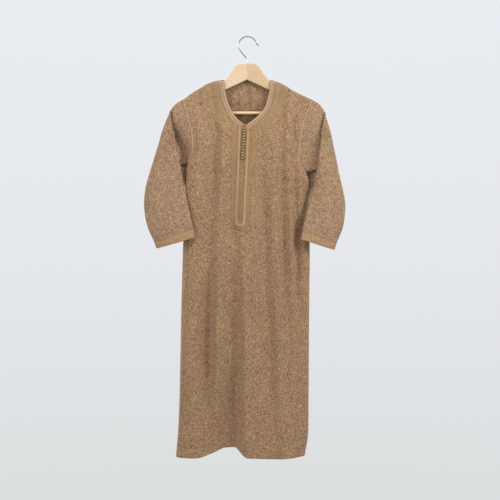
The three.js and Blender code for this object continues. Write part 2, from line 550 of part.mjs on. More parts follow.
function sleeveRings(lr) {
  const out = lr === 'left' ? -1 : 1;
  const s = out;
  const step = GAP + 0.1;
  const edge = (side, r) => {
    const z = chestZ(s, r);
    return V(xAt(s, z) + out * step, bodyY(side, s, z), z);
  };
  const first = [];
  for (let r = 0; r < ARM_POINTS; r += 1) {
    const p = edge('front', r);
    if (r === 0 || r === ARM_POINTS - 1) p.y = 0;
    first.push(p);
  }
  for (let r = ARM_POINTS - 2; r >= 1; r -= 1) first.push(edge('back', r));
  // the inside of the first ring follows the inside of the panels' armhole edges
  const c = lr === 'left' ? 0 : -1;
  const inFront = moved('front', frontGrid, -CLOTH).map((row) => row.at(c).clone());
  const inBack = moved('back', backGrid, -CLOTH).map((row) => row.at(c).clone());
  const firstIn = [];
  for (let r = 0; r < ARM_POINTS; r += 1) {
    const p = inFront[r];
    if (r === ARM_POINTS - 1) p.copy(first[r]).add(V(0, 0, CLOTH)); else p.x += out * step;
    if (r === 0) p.y = 0;
    firstIn.push(p);
  }
  for (let r = ARM_POINTS - 2; r >= 1; r -= 1) { inBack[r].x += out * step; firstIn.push(inBack[r]); }
  const z0 = first[0].z;
  const z1 = first[ARM_POINTS - 1].z;
  const t0 = first.slice(0, ARM_POINTS).map((p) => (z0 - p.z) / (z0 - z1));
  const rows = SLEEVES[lr];
  const rings = [first];
  const last = rows.length - 1;
  for (let j = 0; j < last; j += 1) rings.push(ringTable(rows[j], t0, clamp((j + 1) / 3, 0, 1)));
  const cuff = [0, 0.5, 1].map((f) => {
    const a = ringTable(rows[last - 1], t0, 1);
    const b = ringTable(rows[last], t0, 1);
    const dist = V(rows[last].ix - rows[last - 1].ix, 0, rows[last].iz - rows[last - 1].iz).length();
    const g = lerp(CUFF_SEAM / dist, 1, f);
    return a.map((p, k) => p.clone().lerp(b[k], g));
  });
  return { rings, cuff, firstIn };
}

function tubeWall(rings, thick, firstIn) {
  const n = gridNormals(rings, true);
  // which way is out: away from the ring's middle
  const r = Math.floor(rings.length / 2);
  const c = rings[r].reduce((a, p) => a.add(p), V(0, 0, 0)).multiplyScalar(1 / rings[r].length);
  const k = Math.floor(HALF / 2);
  const sign = rings[r][k].clone().sub(c).dot(n[r][k]) > 0 ? 1 : -1;
  const innerRings = rings.map((row, i) => row.map((p, j) => p.clone().addScaledVector(n[i][j], -sign * thick)));
  if (firstIn) innerRings[0] = firstIn;
  return wall(rings, innerRings, true);
}

// ---------------------------------------------------------------- hanger
function woodOutline() {
  const pts = [];
  const xs = [76.5, 92, 108, 125, 142, 160, 178, 192, 203];
  for (const x of [...xs].reverse()) pts.push([-x, shoulderZ(-x) - ARM_DROP]);
  const hump = [[-66, -132.5], [-60, -125], [-51, -113], [-42, -99], [-34, -89], [-24, -83.5], [-12, -81.5]];
  pts.push(...hump, [0, -81.2], ...[...hump].reverse().map(([x, z]) => [-x, z]));
  for (const x of xs) pts.push([x, shoulderZ(x) - ARM_DROP]);
  const end = (sgn) => [[209, 0], [211, -10], [210, -25], [205, -33], [198, -35], [190, -31], [184, -20]].map(([x, dz]) => [sgn * x, shoulderZ(sgn * 203) - ARM_DROP - 4 + dz]);
  const low = (x) => -130.8 - ARM_SLOPE * Math.abs(x);
  const lowXs = [168, 120, 66.5, 20];
  pts.push(...end(1), ...lowXs.map((x) => [x, low(x)]), [0, -130.8], ...[...lowXs].reverse().map((x) => [-x, low(x)]), ...end(-1).reverse());
  return pts;
}

function hangerHalves() {
  const shape = new THREE.Shape(woodOutline().map(([x, z]) => new THREE.Vector2(x, z)));
  const bevel = 2.6;
  const g = new THREE.ExtrudeGeometry(shape, { depth: WOOD - 2 * bevel, bevelEnabled: true, bevelThickness: bevel, bevelSize: bevel, bevelOffset: -bevel, bevelSegments: 2 });
  g.rotateX(Math.PI / 2);
  g.translate(0, WOOD / 2 - bevel, 0);
  let wood = toManifold(g);
  const bore = new THREE.CylinderGeometry(WIRE_D / 2 + GAP, WIRE_D / 2 + GAP, 60, 12);
  bore.rotateX(Math.PI / 2);
  bore.translate(0, 0, -78.5);
  wood = wood.subtract(toManifold(bore));
  const socket = new THREE.CylinderGeometry(BAR_D / 2 + GAP, BAR_D / 2 + GAP, 2 * 204, 14);
  socket.rotateZ(Math.PI / 2);
  socket.translate(0, 0, BAR_Z);
  wood = wood.subtract(toManifold(socket));
  const half = (x0, x1) => {
    const b = new THREE.BoxGeometry(x1 - x0, 40, 260);
    b.translate((x0 + x1) / 2, 0, -170);
    return toManifold(b);
  };
  return { left: wood.intersect(half(-300, -GAP / 2)), right: wood.intersect(half(GAP / 2, 300)) };
}

class HookLine extends THREE.Curve {
  constructor() {
    super();
    const c = { x: 1.5, z: -25.6 };
    const pts = [];
    const tip = V(35.5, 0, -26.5);
    pts.push(tip, V(32.0, 0, -22.5));
    for (let a = 12; a <= 218; a += 13) {
      const r = (a * Math.PI) / 180;
      pts.push(V(c.x + HOOK_R * Math.cos(r), 0, c.z + HOOK_R * Math.sin(r)));
    }
    pts.push(V(-12.5, 0, -51.5), V(-4.2, 0, -61.5), V(-0.6, 0, -68), V(0, 0, -76), V(0, 0, -88), V(0, 0, -104));
    this.path = new THREE.CatmullRomCurve3(pts, false, 'centripetal');
  }

  getPoint(t, target) { return this.path.getPoint(t, target); }
}

function hookGeometry() {
  const round = new THREE.Shape();
  round.absarc(0, 0, WIRE_D / 2, 0, Math.PI * 2, false);
  return new THREE.ExtrudeGeometry(round, { steps: 40, curveSegments: 4, extrudePath: new HookLine(), bevelEnabled: false });
}

// ---------------------------------------------------------------- the object
const cloth = () => new THREE.MeshStandardMaterial({ color: 0x9c7d62, roughness: 0.95, metalness: 0 });
const band = () => new THREE.MeshStandardMaterial({ color: 0xa8865f, roughness: 0.9, metalness: 0 });
const braid = () => new THREE.MeshStandardMaterial({ color: 0xb4916b, roughness: 0.85, metalness: 0 });
const buttonMat = () => new THREE.MeshStandardMaterial({ color: 0x8f6c47, roughness: 0.85, metalness: 0 });
const woodL = () => new THREE.MeshStandardMaterial({ color: 0xf0d5b0, roughness: 0.5, metalness: 0 });
const woodR = () => new THREE.MeshStandardMaterial({ color: 0xe1b98c, roughness: 0.5, metalness: 0 });
const steel = () => new THREE.MeshStandardMaterial({ color: 0xb8bcc0, roughness: 0.25, metalness: 1 });

const kaftan = new THREE.Group();
function add(parent, name, geometry, material) {
  const mesh = new THREE.Mesh(geometry, material);
  mesh.name = name;
  parent.add(mesh);
  return mesh;
}

const garment = new THREE.Group();
kaftan.add(garment);
add(garment, 'front', toGeometry(frontWall.subtract(frontNeckCut).subtract(slitCut)), cloth());
add(garment, 'back', toGeometry(backWall.subtract(backNeckCut)), cloth());
for (const lr of ['left', 'right']) {
  const { rings, cuff, firstIn } = sleeveRings(lr);
  add(garment, `sleeve_${lr}`, tubeWall(rings, CLOTH, firstIn), cloth());
  add(garment, `cuff_${lr}`, tubeWall(cuff, CLOTH), band());
}

const trims = new THREE.Group();
kaftan.add(trims);
const leftHalf = besideSlit(-260);
const rightHalf = besideSlit(260);
add(trims, 'neck_braid_left', toGeometry(neckBraid.intersect(leftHalf)), braid());
add(trims, 'neck_braid_right', toGeometry(neckBraid.intersect(rightHalf)), braid());
add(trims, 'neck_braid_back', toGeometry(backNeckBraid), braid());
add(trims, 'neck_band_left', toGeometry(neckBand.intersect(leftHalf)), band());
add(trims, 'neck_band_right', toGeometry(neckBand.intersect(rightHalf)), band());
add(trims, 'neck_band_back', toGeometry(backNeckBand), band());
add(trims, 'placket', toGeometry(placketBand), band());
add(trims, 'placket_braid', toGeometry(placketLoop), braid());

for (let i = 0; i < BUTTONS; i += 1) {
  const z = BUTTON_FIRST.z - i * BUTTON_PITCH;
  const x = lerp(BUTTON_FIRST.x, BUTTON_LAST_X, i / (BUTTONS - 1));
  const y = bodyY('front', sAt(x, z), z) - (LIFT + BAND + LIFT + BUTTON_D / 2);
  const ball = mergeVertices((() => { const b = new THREE.IcosahedronGeometry(BUTTON_D / 2, 1); b.deleteAttribute('normal'); b.deleteAttribute('uv'); return b; })());
  const mesh = add(trims, `button_${String(i + 1).padStart(2, '0')}`, ball, buttonMat());
  mesh.position.set(x, y, z);
}

const hanger = new THREE.Group();
kaftan.add(hanger);
const halves = hangerHalves();
add(hanger, 'hanger_arm_left', toGeometry(halves.left), woodL());
add(hanger, 'hanger_arm_right', toGeometry(halves.right), woodR());
const barGeo = new THREE.CylinderGeometry(BAR_D / 2, BAR_D / 2, 2 * 203, 14);
const bar = add(hanger, 'hanger_bar', barGeo, woodL());
bar.rotation.z = Math.PI / 2;
bar.position.set(0, 0, BAR_Z);
add(hanger, 'hanger_hook', hookGeometry(), steel());

export default kaftan;
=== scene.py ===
import math

import bpy
import numpy as np
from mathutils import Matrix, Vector


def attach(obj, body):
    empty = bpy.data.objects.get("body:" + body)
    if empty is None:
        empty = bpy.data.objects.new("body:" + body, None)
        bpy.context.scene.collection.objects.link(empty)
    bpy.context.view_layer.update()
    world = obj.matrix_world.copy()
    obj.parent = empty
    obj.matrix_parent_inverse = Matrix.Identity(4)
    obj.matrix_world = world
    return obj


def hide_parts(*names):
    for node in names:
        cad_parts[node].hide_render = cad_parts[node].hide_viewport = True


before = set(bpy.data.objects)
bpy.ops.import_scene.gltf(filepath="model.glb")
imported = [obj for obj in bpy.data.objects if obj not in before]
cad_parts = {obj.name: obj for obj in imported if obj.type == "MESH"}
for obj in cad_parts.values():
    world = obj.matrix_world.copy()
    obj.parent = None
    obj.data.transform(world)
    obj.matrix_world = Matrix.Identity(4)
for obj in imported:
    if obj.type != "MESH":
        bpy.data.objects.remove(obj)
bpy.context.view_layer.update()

# The kaftan's visible surfaces. Sizes are millimetres here and metres in the meshes.
# Left and right are as someone who faces the garment sees them; the front faces -Y.
MM = 0.001

CLOTH, GAP, LIFT, BAND, BRAID = 1.8, 0.3, 0.4, 1.1, 1.1
ARCH, HEM_Z, HEM_LIFT, SLIT_TOP, BELLY = 9.6, -1276.0, 24.0, -1131.0, 6.0
NECK_BRAID_W, NECK_BAND_W, CUFF_SEAM = 16.0, 58.0, 0.35
WOOD, ARM_DROP, ARM_SLOPE, BAR_D, BAR_Z = 12.0, 4.4, 0.462, 10.0, -231.6
WIRE_D, HOOK_R = 3.6, 27.4
BUTTONS, BUTTON_D, BUTTON_PITCH = 13, 8.0, 8.3
BUTTON_FIRST, BUTTON_LAST_X = (-7.0, -273.5), -14.2


def table(names, *rows):
    names = names.split()
    return [dict(zip(names, row)) for row in rows]


BODY = table(
    "z left right front back",
    (-186, -193, 201, 9, 9), (-207, -191, 194, 13, 11), (-238, -183, 181, 19, 14),
    (-268, -174, 170, 25, 17), (-308, -166, 163, 29, 20), (-344, -166, 159, 31, 22),
    (-369, -174, 157, 32, 23), (-384, -181, 160, 32, 24), (-399, -184, 169, 32, 24),
    (-414, -186, 181, 32, 24), (-442, -187, 190, 33, 25), (-497, -189, 192, 33, 25),
    (-634, -195, 192, 33, 25), (-802, -200, 190, 34, 26), (-954, -203, 189, 35, 27),
    (-1107, -206, 188, 37, 29), (-1198, -210, 187, 39, 30), (-1285, -217, 174, 40, 31),
)
ARMPIT = {"left": -384.0, "right": -414.0}
SHOULDER = table(
    "x z",
    (-223, -205.6), (-210.5, -199.8), (-192, -189.6), (-174, -175.4), (-149.5, -159.2),
    (-125, -146.1), (-100.7, -136.3), (-76.5, -131.8), (-62, -119.6), (-44, -117.8),
    (44, -117.8), (62, -119.8), (76.5, -132.6), (100.7, -141.0), (125, -154.2),
    (149.5, -168.0), (174, -179.6), (198.5, -191.2), (216.6, -202.4), (229, -211.7),
)
NECK = table(
    "z left right",
    (-133.4, -74.3, 74.3), (-144.7, -68.4, 69.6), (-163.3, -65.9, 67.5), (-181.9, -62.5, 64.1),
    (-200.4, -57.6, 59.5), (-219.1, -49.3, 51.6), (-234.5, -41.7, 39.7), (-246.8, -33.2, 27.9),
    (-259.1, -21.7, 13.4), (-269.5, -7.2, -1.5),
)
BACK_NECK = {"side": 74.3, "sideZ": -133.0, "midZ": -126.8}
FOLD_Z = (-314.0, -634.0, -954.0, -1276.0)
FRONT_FOLDS = table(
    "name x in wl wr",
    ("A", (-101, -113, -118, -122), (3, 9, 23, 17), (40, 42, 46, 42), (27, 28, 31, 31)),
    ("B", (-40, -38, -34, -48), (0, 8, 20, 48), (40, 45, 55, 88), (26, 27, 30, 48)),
    ("C", (43, 56, 67, 79), (2, 9, 12, 6), (30, 38, 44, 44), (20, 25, 30, 34)),
    ("D", (104, 113, 125, 134), (5, 8, 6, 2), (24, 24, 26, 30), (20, 22, 26, 30)),
    ("E", (140, 152, 158, 158), (4, 13, 6, 8), (16, 18, 24, 26), (24, 26, 28, 26)),
)
BACK_FOLDS = table(
    "name x in wl wr",
    ("F", (-120, -132, -140, -146), (2, 7, 10, 12), (30, 32, 36, 38), (34, 36, 40, 44)),
    ("G", (-50, -58, -62, -58), (0, 5, 9, 10), (34, 38, 42, 46), (30, 32, 36, 40)),
    ("H", (30, 26, 22, 26), (2, 8, 13, 17), (32, 34, 36, 40), (36, 38, 42, 46)),
    ("I", (105, 108, 114, 118), (4, 9, 11, 14), (30, 32, 34, 36), (28, 30, 32, 34)),
)
RING = "ring ox oz oy ix iz iy bow top mid low back"
SLEEVES = {
    "left": table(
        RING,
        ("head", -215, -202.5, 0, -189, -388, 0, 7, 14, 16, 11, 14),
        ("valley", -230, -219, -1, -197, -391, -2, -4, 11, 4, 5, 10),
        ("lip", -233, -225, -4, -202, -396, -9, -2, 17, 25, 19, 9),
        ("r4", -245, -252, -5, -198, -417, -10, 1, 17, 25, 20, 10),
        ("r5", -258, -286, -6, -194, -439, -12, 2, 17, 24, 19, 11),
        ("r6", -269, -325, -7, -190, -460, -15, 2, 17, 22, 17, 11),
        ("r7", -282, -368, -8, -185, -482, -19, 1, 16, 20, 15, 11),
        ("r8", -296, -414, -9, -180, -503, -23, 1, 15, 19, 14, 11),
        ("r9", -308, -459, -10, -175, -524, -29, 0, 15, 18, 13, 11),
        ("r10", -313, -508, -11, -170, -546, -34, 0, 15, 17, 12, 11),
        ("r11", -306, -565, -12, -165, -567, -37, 0, 15, 17, 12, 11),
        ("end", -281, -627, -13, -161, -588, -39, 0, 15, 17, 12, 11),
        ("cuff", -274, -645, -14, -157, -612, -40, 0, 15, 17, 12, 11),
    ),
    "right": table(
        RING,
        ("head", 219, -204.5, 0, 191, -413, 0, -8, 14, 16, 11, 14),
        ("valley", 233, -221, -1, 207, -411, -2, -2, 11, 4, 5, 10),
        ("lip", 237, -231, -4, 213, -412, -9, -2, 17, 25, 19, 9),
        ("r4", 245, -258, -5, 208, -432, -10, -1, 17, 25, 20, 10),
        ("r5", 255, -292, -6, 203, -453, -12, 0, 17, 24, 19, 11),
        ("r6", 263, -331, -7, 198, -474, -15, 0, 17, 22, 17, 11),
        ("r7", 272, -374, -8, 192, -494, -19, 0, 16, 20, 15, 11),
        ("r8", 281, -420, -9, 186, -515, -23, 0, 15, 19, 14, 11),
        ("r9", 292, -468, -10, 180, -536, -28, 0, 15, 18, 13, 11),
        ("r10", 299, -517, -11, 175, -556, -33, 0, 15, 17, 12, 11),
        ("r11", 293.5, -571, -12, 170, -576, -36, 0, 15, 17, 12, 11),
        ("end", 272, -629, -13, 167, -595, -38, 0, 15, 17, 12, 11),
        ("cuff", 265, -649, -14, 162, -617, -39, 0, 15, 17, 12, 11),
    ),
}
PLACKET = table(
    "z mid outL outR inL inR",
    (-285, -7.5, 38, 40, 14.5, 10.5), (-345, -9.5, 36, 39, 14.5, 10.5), (-440, -13.5, 32, 27, 14.0, 10.5),
    (-545, -18.5, 28, 26, 13.5, 10.5), (-590, -19.5, 25, 25, 13.0, 11.5),
)
PLACKET_END = {"out": -591.0, "in": -575.0}
SLIT = {"topX": -4.5, "endX": -14.6, "endZ": -384.0, "width": 1.0}

# Creases laid on the panels, besides the long folds above. From (x0, z0) to (x1, z1);
# bow: sideways bend; w: half-width; d: depth, where less than 0 is a ridge.
CREASE = "x0 z0 x1 z1 bow w d"
FRONT_CREASES = table(
    CREASE,
    (-150, -162, -146, -262, 3, 13, 3.2), (-128, -150, -122, -246, -3, 16, -1.8),
    (-106, -150, -104, -300, 4, 18, 2.4), (-160, -205, -150, -330, 6, 11, -1.6),
    (-161, -300, -138, -392, -5, 13, 2.2), (-176, -396, -120, -360, 6, 12, 1.8),
    (-170, -420, -92, -410, -5, 15, 1.4), (-60, -330, -66, -520, 5, 17, 1.6),
    (-91, -236, -99, -580, 4, 15, 6.0), (-122, -260, -124, -500, -3, 15, -1.8), (-150, -470, -154, -760, 6, 20, 2.6),
    (-172, -560, -176, -900, -5, 14, -2.0), (-128, -640, -140, -1010, 8, 16, -1.8),
    (-78, -560, -80, -900, -5, 18, -2.4), (-10, -610, -8, -960, 6, 20, -2.0),
    (14, -600, 24, -1000, -6, 22, 2.4), (-62, -900, -70, -1180, 5, 15, 2.0),
    (-14, -1000, -16, -1240, -3, 14, 1.6), (30, -920, 40, -1240, 5, 20, 2.2),
    (146, -200, 150, -372, -4, 12, 4.2), (128, -176, 132, -330, 3, 15, -2.0),
    (108, -160, 112, -300, -3, 16, 2.0), (86, -300, 84, -470, 4, 18, -2.2),
    (158, -420, 120, -386, -5, 12, 2.0), (172, -446, 96, -430, 5, 15, 1.4),
    (40, -400, 36, -600, -5, 18, 1.6), (64, -300, 70, -420, 3, 14, 1.4),
    (172, -560, 176, -760, 4, 12, -1.4), (134, -520, 138, -760, -4, 13, -2.2),
    (184, -440, 163, -650, 0, 17, 8.5),
    (94, -560, 98, -830, 5, 16, -1.8), (170, -800, 168, -1100, -5, 16, 2.4),
    (104, -900, 110, -1180, 6, 18, 1.8), (142, -960, 148, -1220, -4, 15, -1.8),
    (-190, -1000, -196, -1250, 4, 13, 1.6), (-160, -1060, -164, -1262, -4, 16, -2.0),
    (56, -1060, 62, -1262, 4, 17, -1.8), (0, -1180, 4, -1276, 2, 18, -1.6),
    (112, -1150, 116, -1276, -3, 16, 1.4), (-100, -1120, -104, -1274, 3, 15, 1.4),
    (-120, -412, -60, -440, 7, 14, 1.0), (60, -470, 130, -500, -8, 16, 1.0),
    (-150, -1010, -90, -1040, 8, 18, 0.9), (40, -860, 110, -846, -8, 18, 0.9),
    (-40, -700, 30, -716, 8, 20, 0.8), (70, -1120, 150, -1140, 6, 18, 0.8),
)
BACK_CREASES = table(
    CREASE,
    (-152, -190, -148, -380, 4, 13, 3.0), (-124, -170, -128, -330, -4, 16, -1.8),
    (-92, -150, -96, -360, 5, 18, 2.0), (-40, -140, -44, -300, -4, 16, 1.6),
    (0, -138, 2, -330, 3, 20, -1.4), (44, -142, 50, -310, 4, 16, 1.8),
    (96, -150, 100, -360, -5, 18, 2.2), (130, -176, 132, -350, 4, 14, -2.0),
    (156, -220, 154, -390, -3, 12, 3.0), (-168, -408, -96, -384, -7, 14, 2.0),
    (160, -430, 92, -404, 7, 14, 2.0), (-90, -480, -96, -820, 6, 20, -2.2),
    (-20, -440, -16, -780, -5, 22, -1.8), (66, -470, 70, -800, 5, 20, -2.4),
    (150, -520, 154, -860, -4, 16, 2.4), (-170, -620, -174, -960, 4, 15, -2.0),
    (-110, -860, -108, -1200, -6, 20, -2.0), (-30, -900, -24, -1240, 5, 18, 2.0),
    (70, -900, 74, -1250, -5, 20, -2.2), (150, -980, 156, -1250, 4, 16, -1.8),
    (-184, -1040, -190, -1262, 3, 14, 1.8), (-80, -1100, -84, -1274, 3, 16, 1.6),
    (0, -1160, 2, -1274, -3, 18, 1.4), (100, -1150, 98, -1274, 3, 14, 1.4),
    (-130, -440, -60, -462, 8, 16, 1.0), (50, -450, 130, -436, -8, 16, 1.0),
    (-20, -130, -18, -272, 3, 11, 3.4), (20, -132, 24, -276, -3, 12, 2.8),
    (-60, -980, 20, -1004, 8, 20, 0.9), (90, -760, 150, -744, -6, 16, 0.9),
    (-150, -740, -90, -760, 6, 18, 0.9),
)
# Creases on the sleeves. a: distance along the sleeve; t: share of the way from the outer to
# the inner edge, on the front (1) or the back (-1).
SLEEVE_CREASES = {
    "left": table(
        "side a0 t0 a1 t1 bow w d",
        (1, 34, 0.42, 150, 0.30, 6, 14, 2.6), (1, 60, 0.70, 190, 0.58, -7, 15, -2.2),
        (1, 110, 0.84, 260, 0.78, 5, 11, 2.2), (1, 150, 0.46, 330, 0.40, -8, 18, 1.8),
        (1, 200, 0.22, 360, 0.28, 7, 14, -1.8), (1, 250, 0.62, 380, 0.66, 6, 14, -1.8),
        (1, 190, 0.92, 250, 0.60, 6, 11, 1.8), (1, 260, 0.08, 240, 0.46, -7, 13, 1.8),
        (1, 300, 0.05, 290, 0.36, 6, 12, -1.4), (1, 120, 0.10, 210, 0.34, 5, 12, 1.4),
        (1, 330, 0.86, 300, 0.52, 5, 11, 1.2), (1, 10, 0.30, 24, 0.74, 3, 8, 1.2),
        (-1, 40, 0.36, 180, 0.30, 6, 16, 2.4), (-1, 90, 0.66, 240, 0.60, -6, 16, 2.4),
        (-1, 200, 0.44, 340, 0.40, 6, 16, -2.0), (-1, 240, 0.10, 260, 0.46, 6, 12, 2.0),
        (-1, 280, 0.86, 300, 0.52, -6, 12, 1.8), (-1, 150, 0.90, 190, 0.60, 5, 12, 1.6),
    ),
    "right": table(
        "side a0 t0 a1 t1 bow w d",
        (1, 40, 0.36, 170, 0.26, -6, 14, 2.4), (1, 56, 0.66, 200, 0.54, 7, 16, -2.4),
        (1, 120, 0.86, 250, 0.80, -5, 11, 2.0), (1, 170, 0.40, 320, 0.44, 8, 18, 1.8),
        (1, 210, 0.18, 350, 0.24, -7, 14, -1.6), (1, 240, 0.66, 370, 0.60, -6, 15, 1.8),
        (1, 200, 0.93, 260, 0.62, -6, 11, 1.6), (1, 250, 0.06, 250, 0.42, 7, 13, 2.0),
        (1, 310, 0.06, 300, 0.34, -6, 12, -1.4), (1, 130, 0.12, 200, 0.36, -5, 12, 1.2),
        (1, 340, 0.88, 310, 0.56, -5, 11, 1.2), (1, 10, 0.34, 22, 0.70, -3, 8, 1.0),
        (-1, 50, 0.40, 190, 0.32, -6, 16, 2.4), (-1, 100, 0.70, 230, 0.62, 6, 16, 2.2),
        (-1, 210, 0.42, 350, 0.44, -6, 16, -2.0), (-1, 250, 0.12, 250, 0.44, -6, 12, 2.0),
        (-1, 290, 0.84, 310, 0.50, 6, 12, 1.8), (-1, 160, 0.92, 180, 0.62, -5, 12, 1.4),
    ),
}


# ---------------------------------------------------------------- numbers
def smooth(a, b, v):
    t = np.clip((np.asarray(v, float) - a) / (b - a), 0, 1)
    return t * t * (3 - 2 * t)


def lerp(a, b, t):
    return a + (b - a) * t


def curve(rows, key, col):
    """Monotone cubic through the rows of a table."""
    r = sorted(rows, key=lambda p: p[key])
    return cubic([p[key] for p in r], [p[col] for p in r])


def cubic(x, y):
    x, y = np.array(x, float), np.array(y, float)
    n = len(x)
    shape = (-1,) + (1,) * (y.ndim - 1)
    d = np.diff(y, axis=0) / np.diff(x).reshape(shape)
    m = np.zeros_like(y)
    m[0], m[-1] = d[0], d[-1]
    a, b = d[:-1], d[1:]
    with np.errstate(divide="ignore", invalid="ignore"):
        m[1:-1] = np.where(a * b <= 0, 0.0, 2 * a * b / np.where(a + b == 0, 1, a + b))

    def f(v):
        v = np.clip(np.asarray(v, float), x[0], x[-1])
        i = np.clip(np.searchsorted(x, v, side="right") - 1, 0, n - 2)
        h = x[i + 1] - x[i]
        t = (v - x[i]) / h
        if y.ndim > 1:
            h, t = h.reshape(shape), t.reshape(shape)
        return (y[i] * (1 + 2 * t) * (1 - t) ** 2 + h * m[i] * t * (1 - t) ** 2
                + y[i + 1] * t * t * (3 - 2 * t) + h * m[i + 1] * t * t * (t - 1))

    return f


def spread(n, *fine):
    """n + 1 places from 0 to 1, closer together near each (place, reach, share of the step)."""
    a = (np.arange(n) + 0.5) / n
    s = np.ones(n)
    for at, reach, share in fine:
        s *= 1 - (1 - share) * np.exp(-np.abs(a - at) / reach)
    c = np.concatenate([[0], np.cumsum(s)])
    return c / c[-1]


def unit(v):
    l = np.linalg.norm(v, axis=-1, keepdims=True)
    return v / np.where(l == 0, 1, l)


# ---------------------------------------------------------------- the panels' form
edge_x = {k: curve(BODY, "z", k) for k in ("left", "right")}
depth_at = {k: curve(BODY, "z", k) for k in ("front", "back")}
shoulder_z = curve(SHOULDER, "x", "z")


def x_at(s, z):
    return lerp(edge_x["left"](z), edge_x["right"](z), (s + 1) / 2)


def s_at(x, z):
    l, r = edge_x["left"](z), edge_x["right"](z)
    return np.clip(2 * (x - l) / (r - l) - 1, -1, 1)


def arch(h):
    return ARCH * np.sqrt(np.maximum(0, 1 - (1 - np.clip(h / ARCH, 0, 1)) ** 2))


def tip_z(lr):
    z = -190.0
    for _ in range(30):
        z = float(shoulder_z(edge_x[lr](z)))
    return z


TIP = {k: tip_z(k) for k in ("left", "right")}


def fold_in(folds, x, z):
    zz = np.clip(z, FOLD_Z[3], FOLD_Z[0])
    i = np.where(zz < FOLD_Z[2], 2, np.where(zz < FOLD_Z[1], 1, 0))
    v = np.array(FOLD_Z)
    t = smooth(0, 1, (v[i] - zz) / (v[i] - v[i + 1]))
    above = np.where(z > FOLD_Z[0], 1 - smooth(FOLD_Z[0], FOLD_Z[0] + 110, z), 1.0)
    total = np.zeros_like(x)
    for f in folds:
        at = {k: np.array(f[k], float) for k in ("x", "in", "wl", "wr")}
        val = {k: lerp(a[i], a[i + 1], t) for k, a in at.items()}
        u = (x - val["x"]) / np.where(x < val["x"], val["wl"], val["wr"])
        total += np.where(np.abs(u) < 1, val["in"] * above * (0.5 + 0.5 * np.cos(np.pi * u)), 0)
    return total


def half_depth(side, s, z, x):
    left = s < 0
    tip = np.where(left, TIP["left"], TIP["right"])
    pit = np.where(left, ARMPIT["left"], ARMPIT["right"])
    a = (tip - z) / (tip - pit)
    h = shoulder_z(x) - z
    full = ARCH + (np.maximum(ARCH, depth_at[side](z)) - ARCH) * (1 - np.exp(-np.maximum(0, h) / 60))
    ac = np.clip(a, 0, 1)
    edge = (ARCH + BELLY * np.sin(np.pi * ac)) * np.sqrt(np.maximum(0, 1 - ac ** 6))
    power = np.where(a < 1, 0.5 + 0.5 * (1 - smooth(0.72, 1, a)), 0.5)
    opened = np.where(z < SLIT_TOP, 5 * smooth(0, 1, (SLIT_TOP - z) / (SLIT_TOP - HEM_Z)), 0)
    e = np.maximum(0, 1 - np.abs(s) ** 8) ** power
    d = edge + opened + (full - edge - opened) * e
    return GAP / 2 + d * (arch(h) / ARCH)


def crease_in(rows, x, z):
    """How far the listed creases go in at a point."""
    total = np.zeros_like(x)
    k = np.linspace(0, 1, 13)
    for c in rows:
        dx, dz = c["x1"] - c["x0"], c["z1"] - c["z0"]
        length = math.hypot(dx, dz)
        nx, nz = -dz / length, dx / length
        b = c["bow"] * 4 * k * (1 - k)
        px, pz = c["x0"] + dx * k + nx * b, c["z0"] + dz * k + nz * b
        near = ((x > px.min() - c["w"]) & (x < px.max() + c["w"])
                & (z > pz.min() - c["w"]) & (z < pz.max() + c["w"]))
        if not near.any():
            continue
        qx, qz = x[near], z[near]
        best = np.full(qx.shape, 1e9)
        along = np.zeros(qx.shape)
        for i in range(12):
            ex, ez = px[i + 1] - px[i], pz[i + 1] - pz[i]
            t = np.clip(((qx - px[i]) * ex + (qz - pz[i]) * ez) / (ex * ex + ez * ez), 0, 1)
            d = np.hypot(qx - px[i] - t * ex, qz - pz[i] - t * ez)
            closer = d < best
            best = np.where(closer, d, best)
            along = np.where(closer, (i + t) / 12, along)
        u = np.clip(best / c["w"], 0, 1)
        fade = smooth(0, 0.3, along) * smooth(1, 0.62, along)
        total[near] += c["d"] * fade * (0.5 + 0.5 * np.cos(np.pi * u))
    return total


def ripple(x, z, k):
    """Small slow unevenness of hanging cloth."""
    return (np.sin(x / 23.0 + 1.3 * np.sin(z / 151.0 + k) + k) * np.sin(z / 97.0 + x / 83.0 + 2 * k)
            + 0.6 * np.sin(x / 11.0 + 1.7 * np.sin(z / 89.0 - k)) * np.sin(z / 61.0 - x / 47.0 + k))


def hem_z(s):
    x = x_at(s, np.full_like(s, HEM_Z))
    u = (x + 48) / np.where(x < -48, 92, 53)
    lift = np.clip(0.5 + 0.5 * np.cos(np.pi * np.clip(u, -1, 1)), 0, 1) ** np.where(x < -48, 0.68, 1.0)
    sag = 3.2 * np.sin(np.pi * np.clip((x - 8) / 150, 0, 1)) ** 2
    return HEM_Z + (HEM_LIFT + 3) * lift - sag + 3.2 * smooth(142, 174, x)


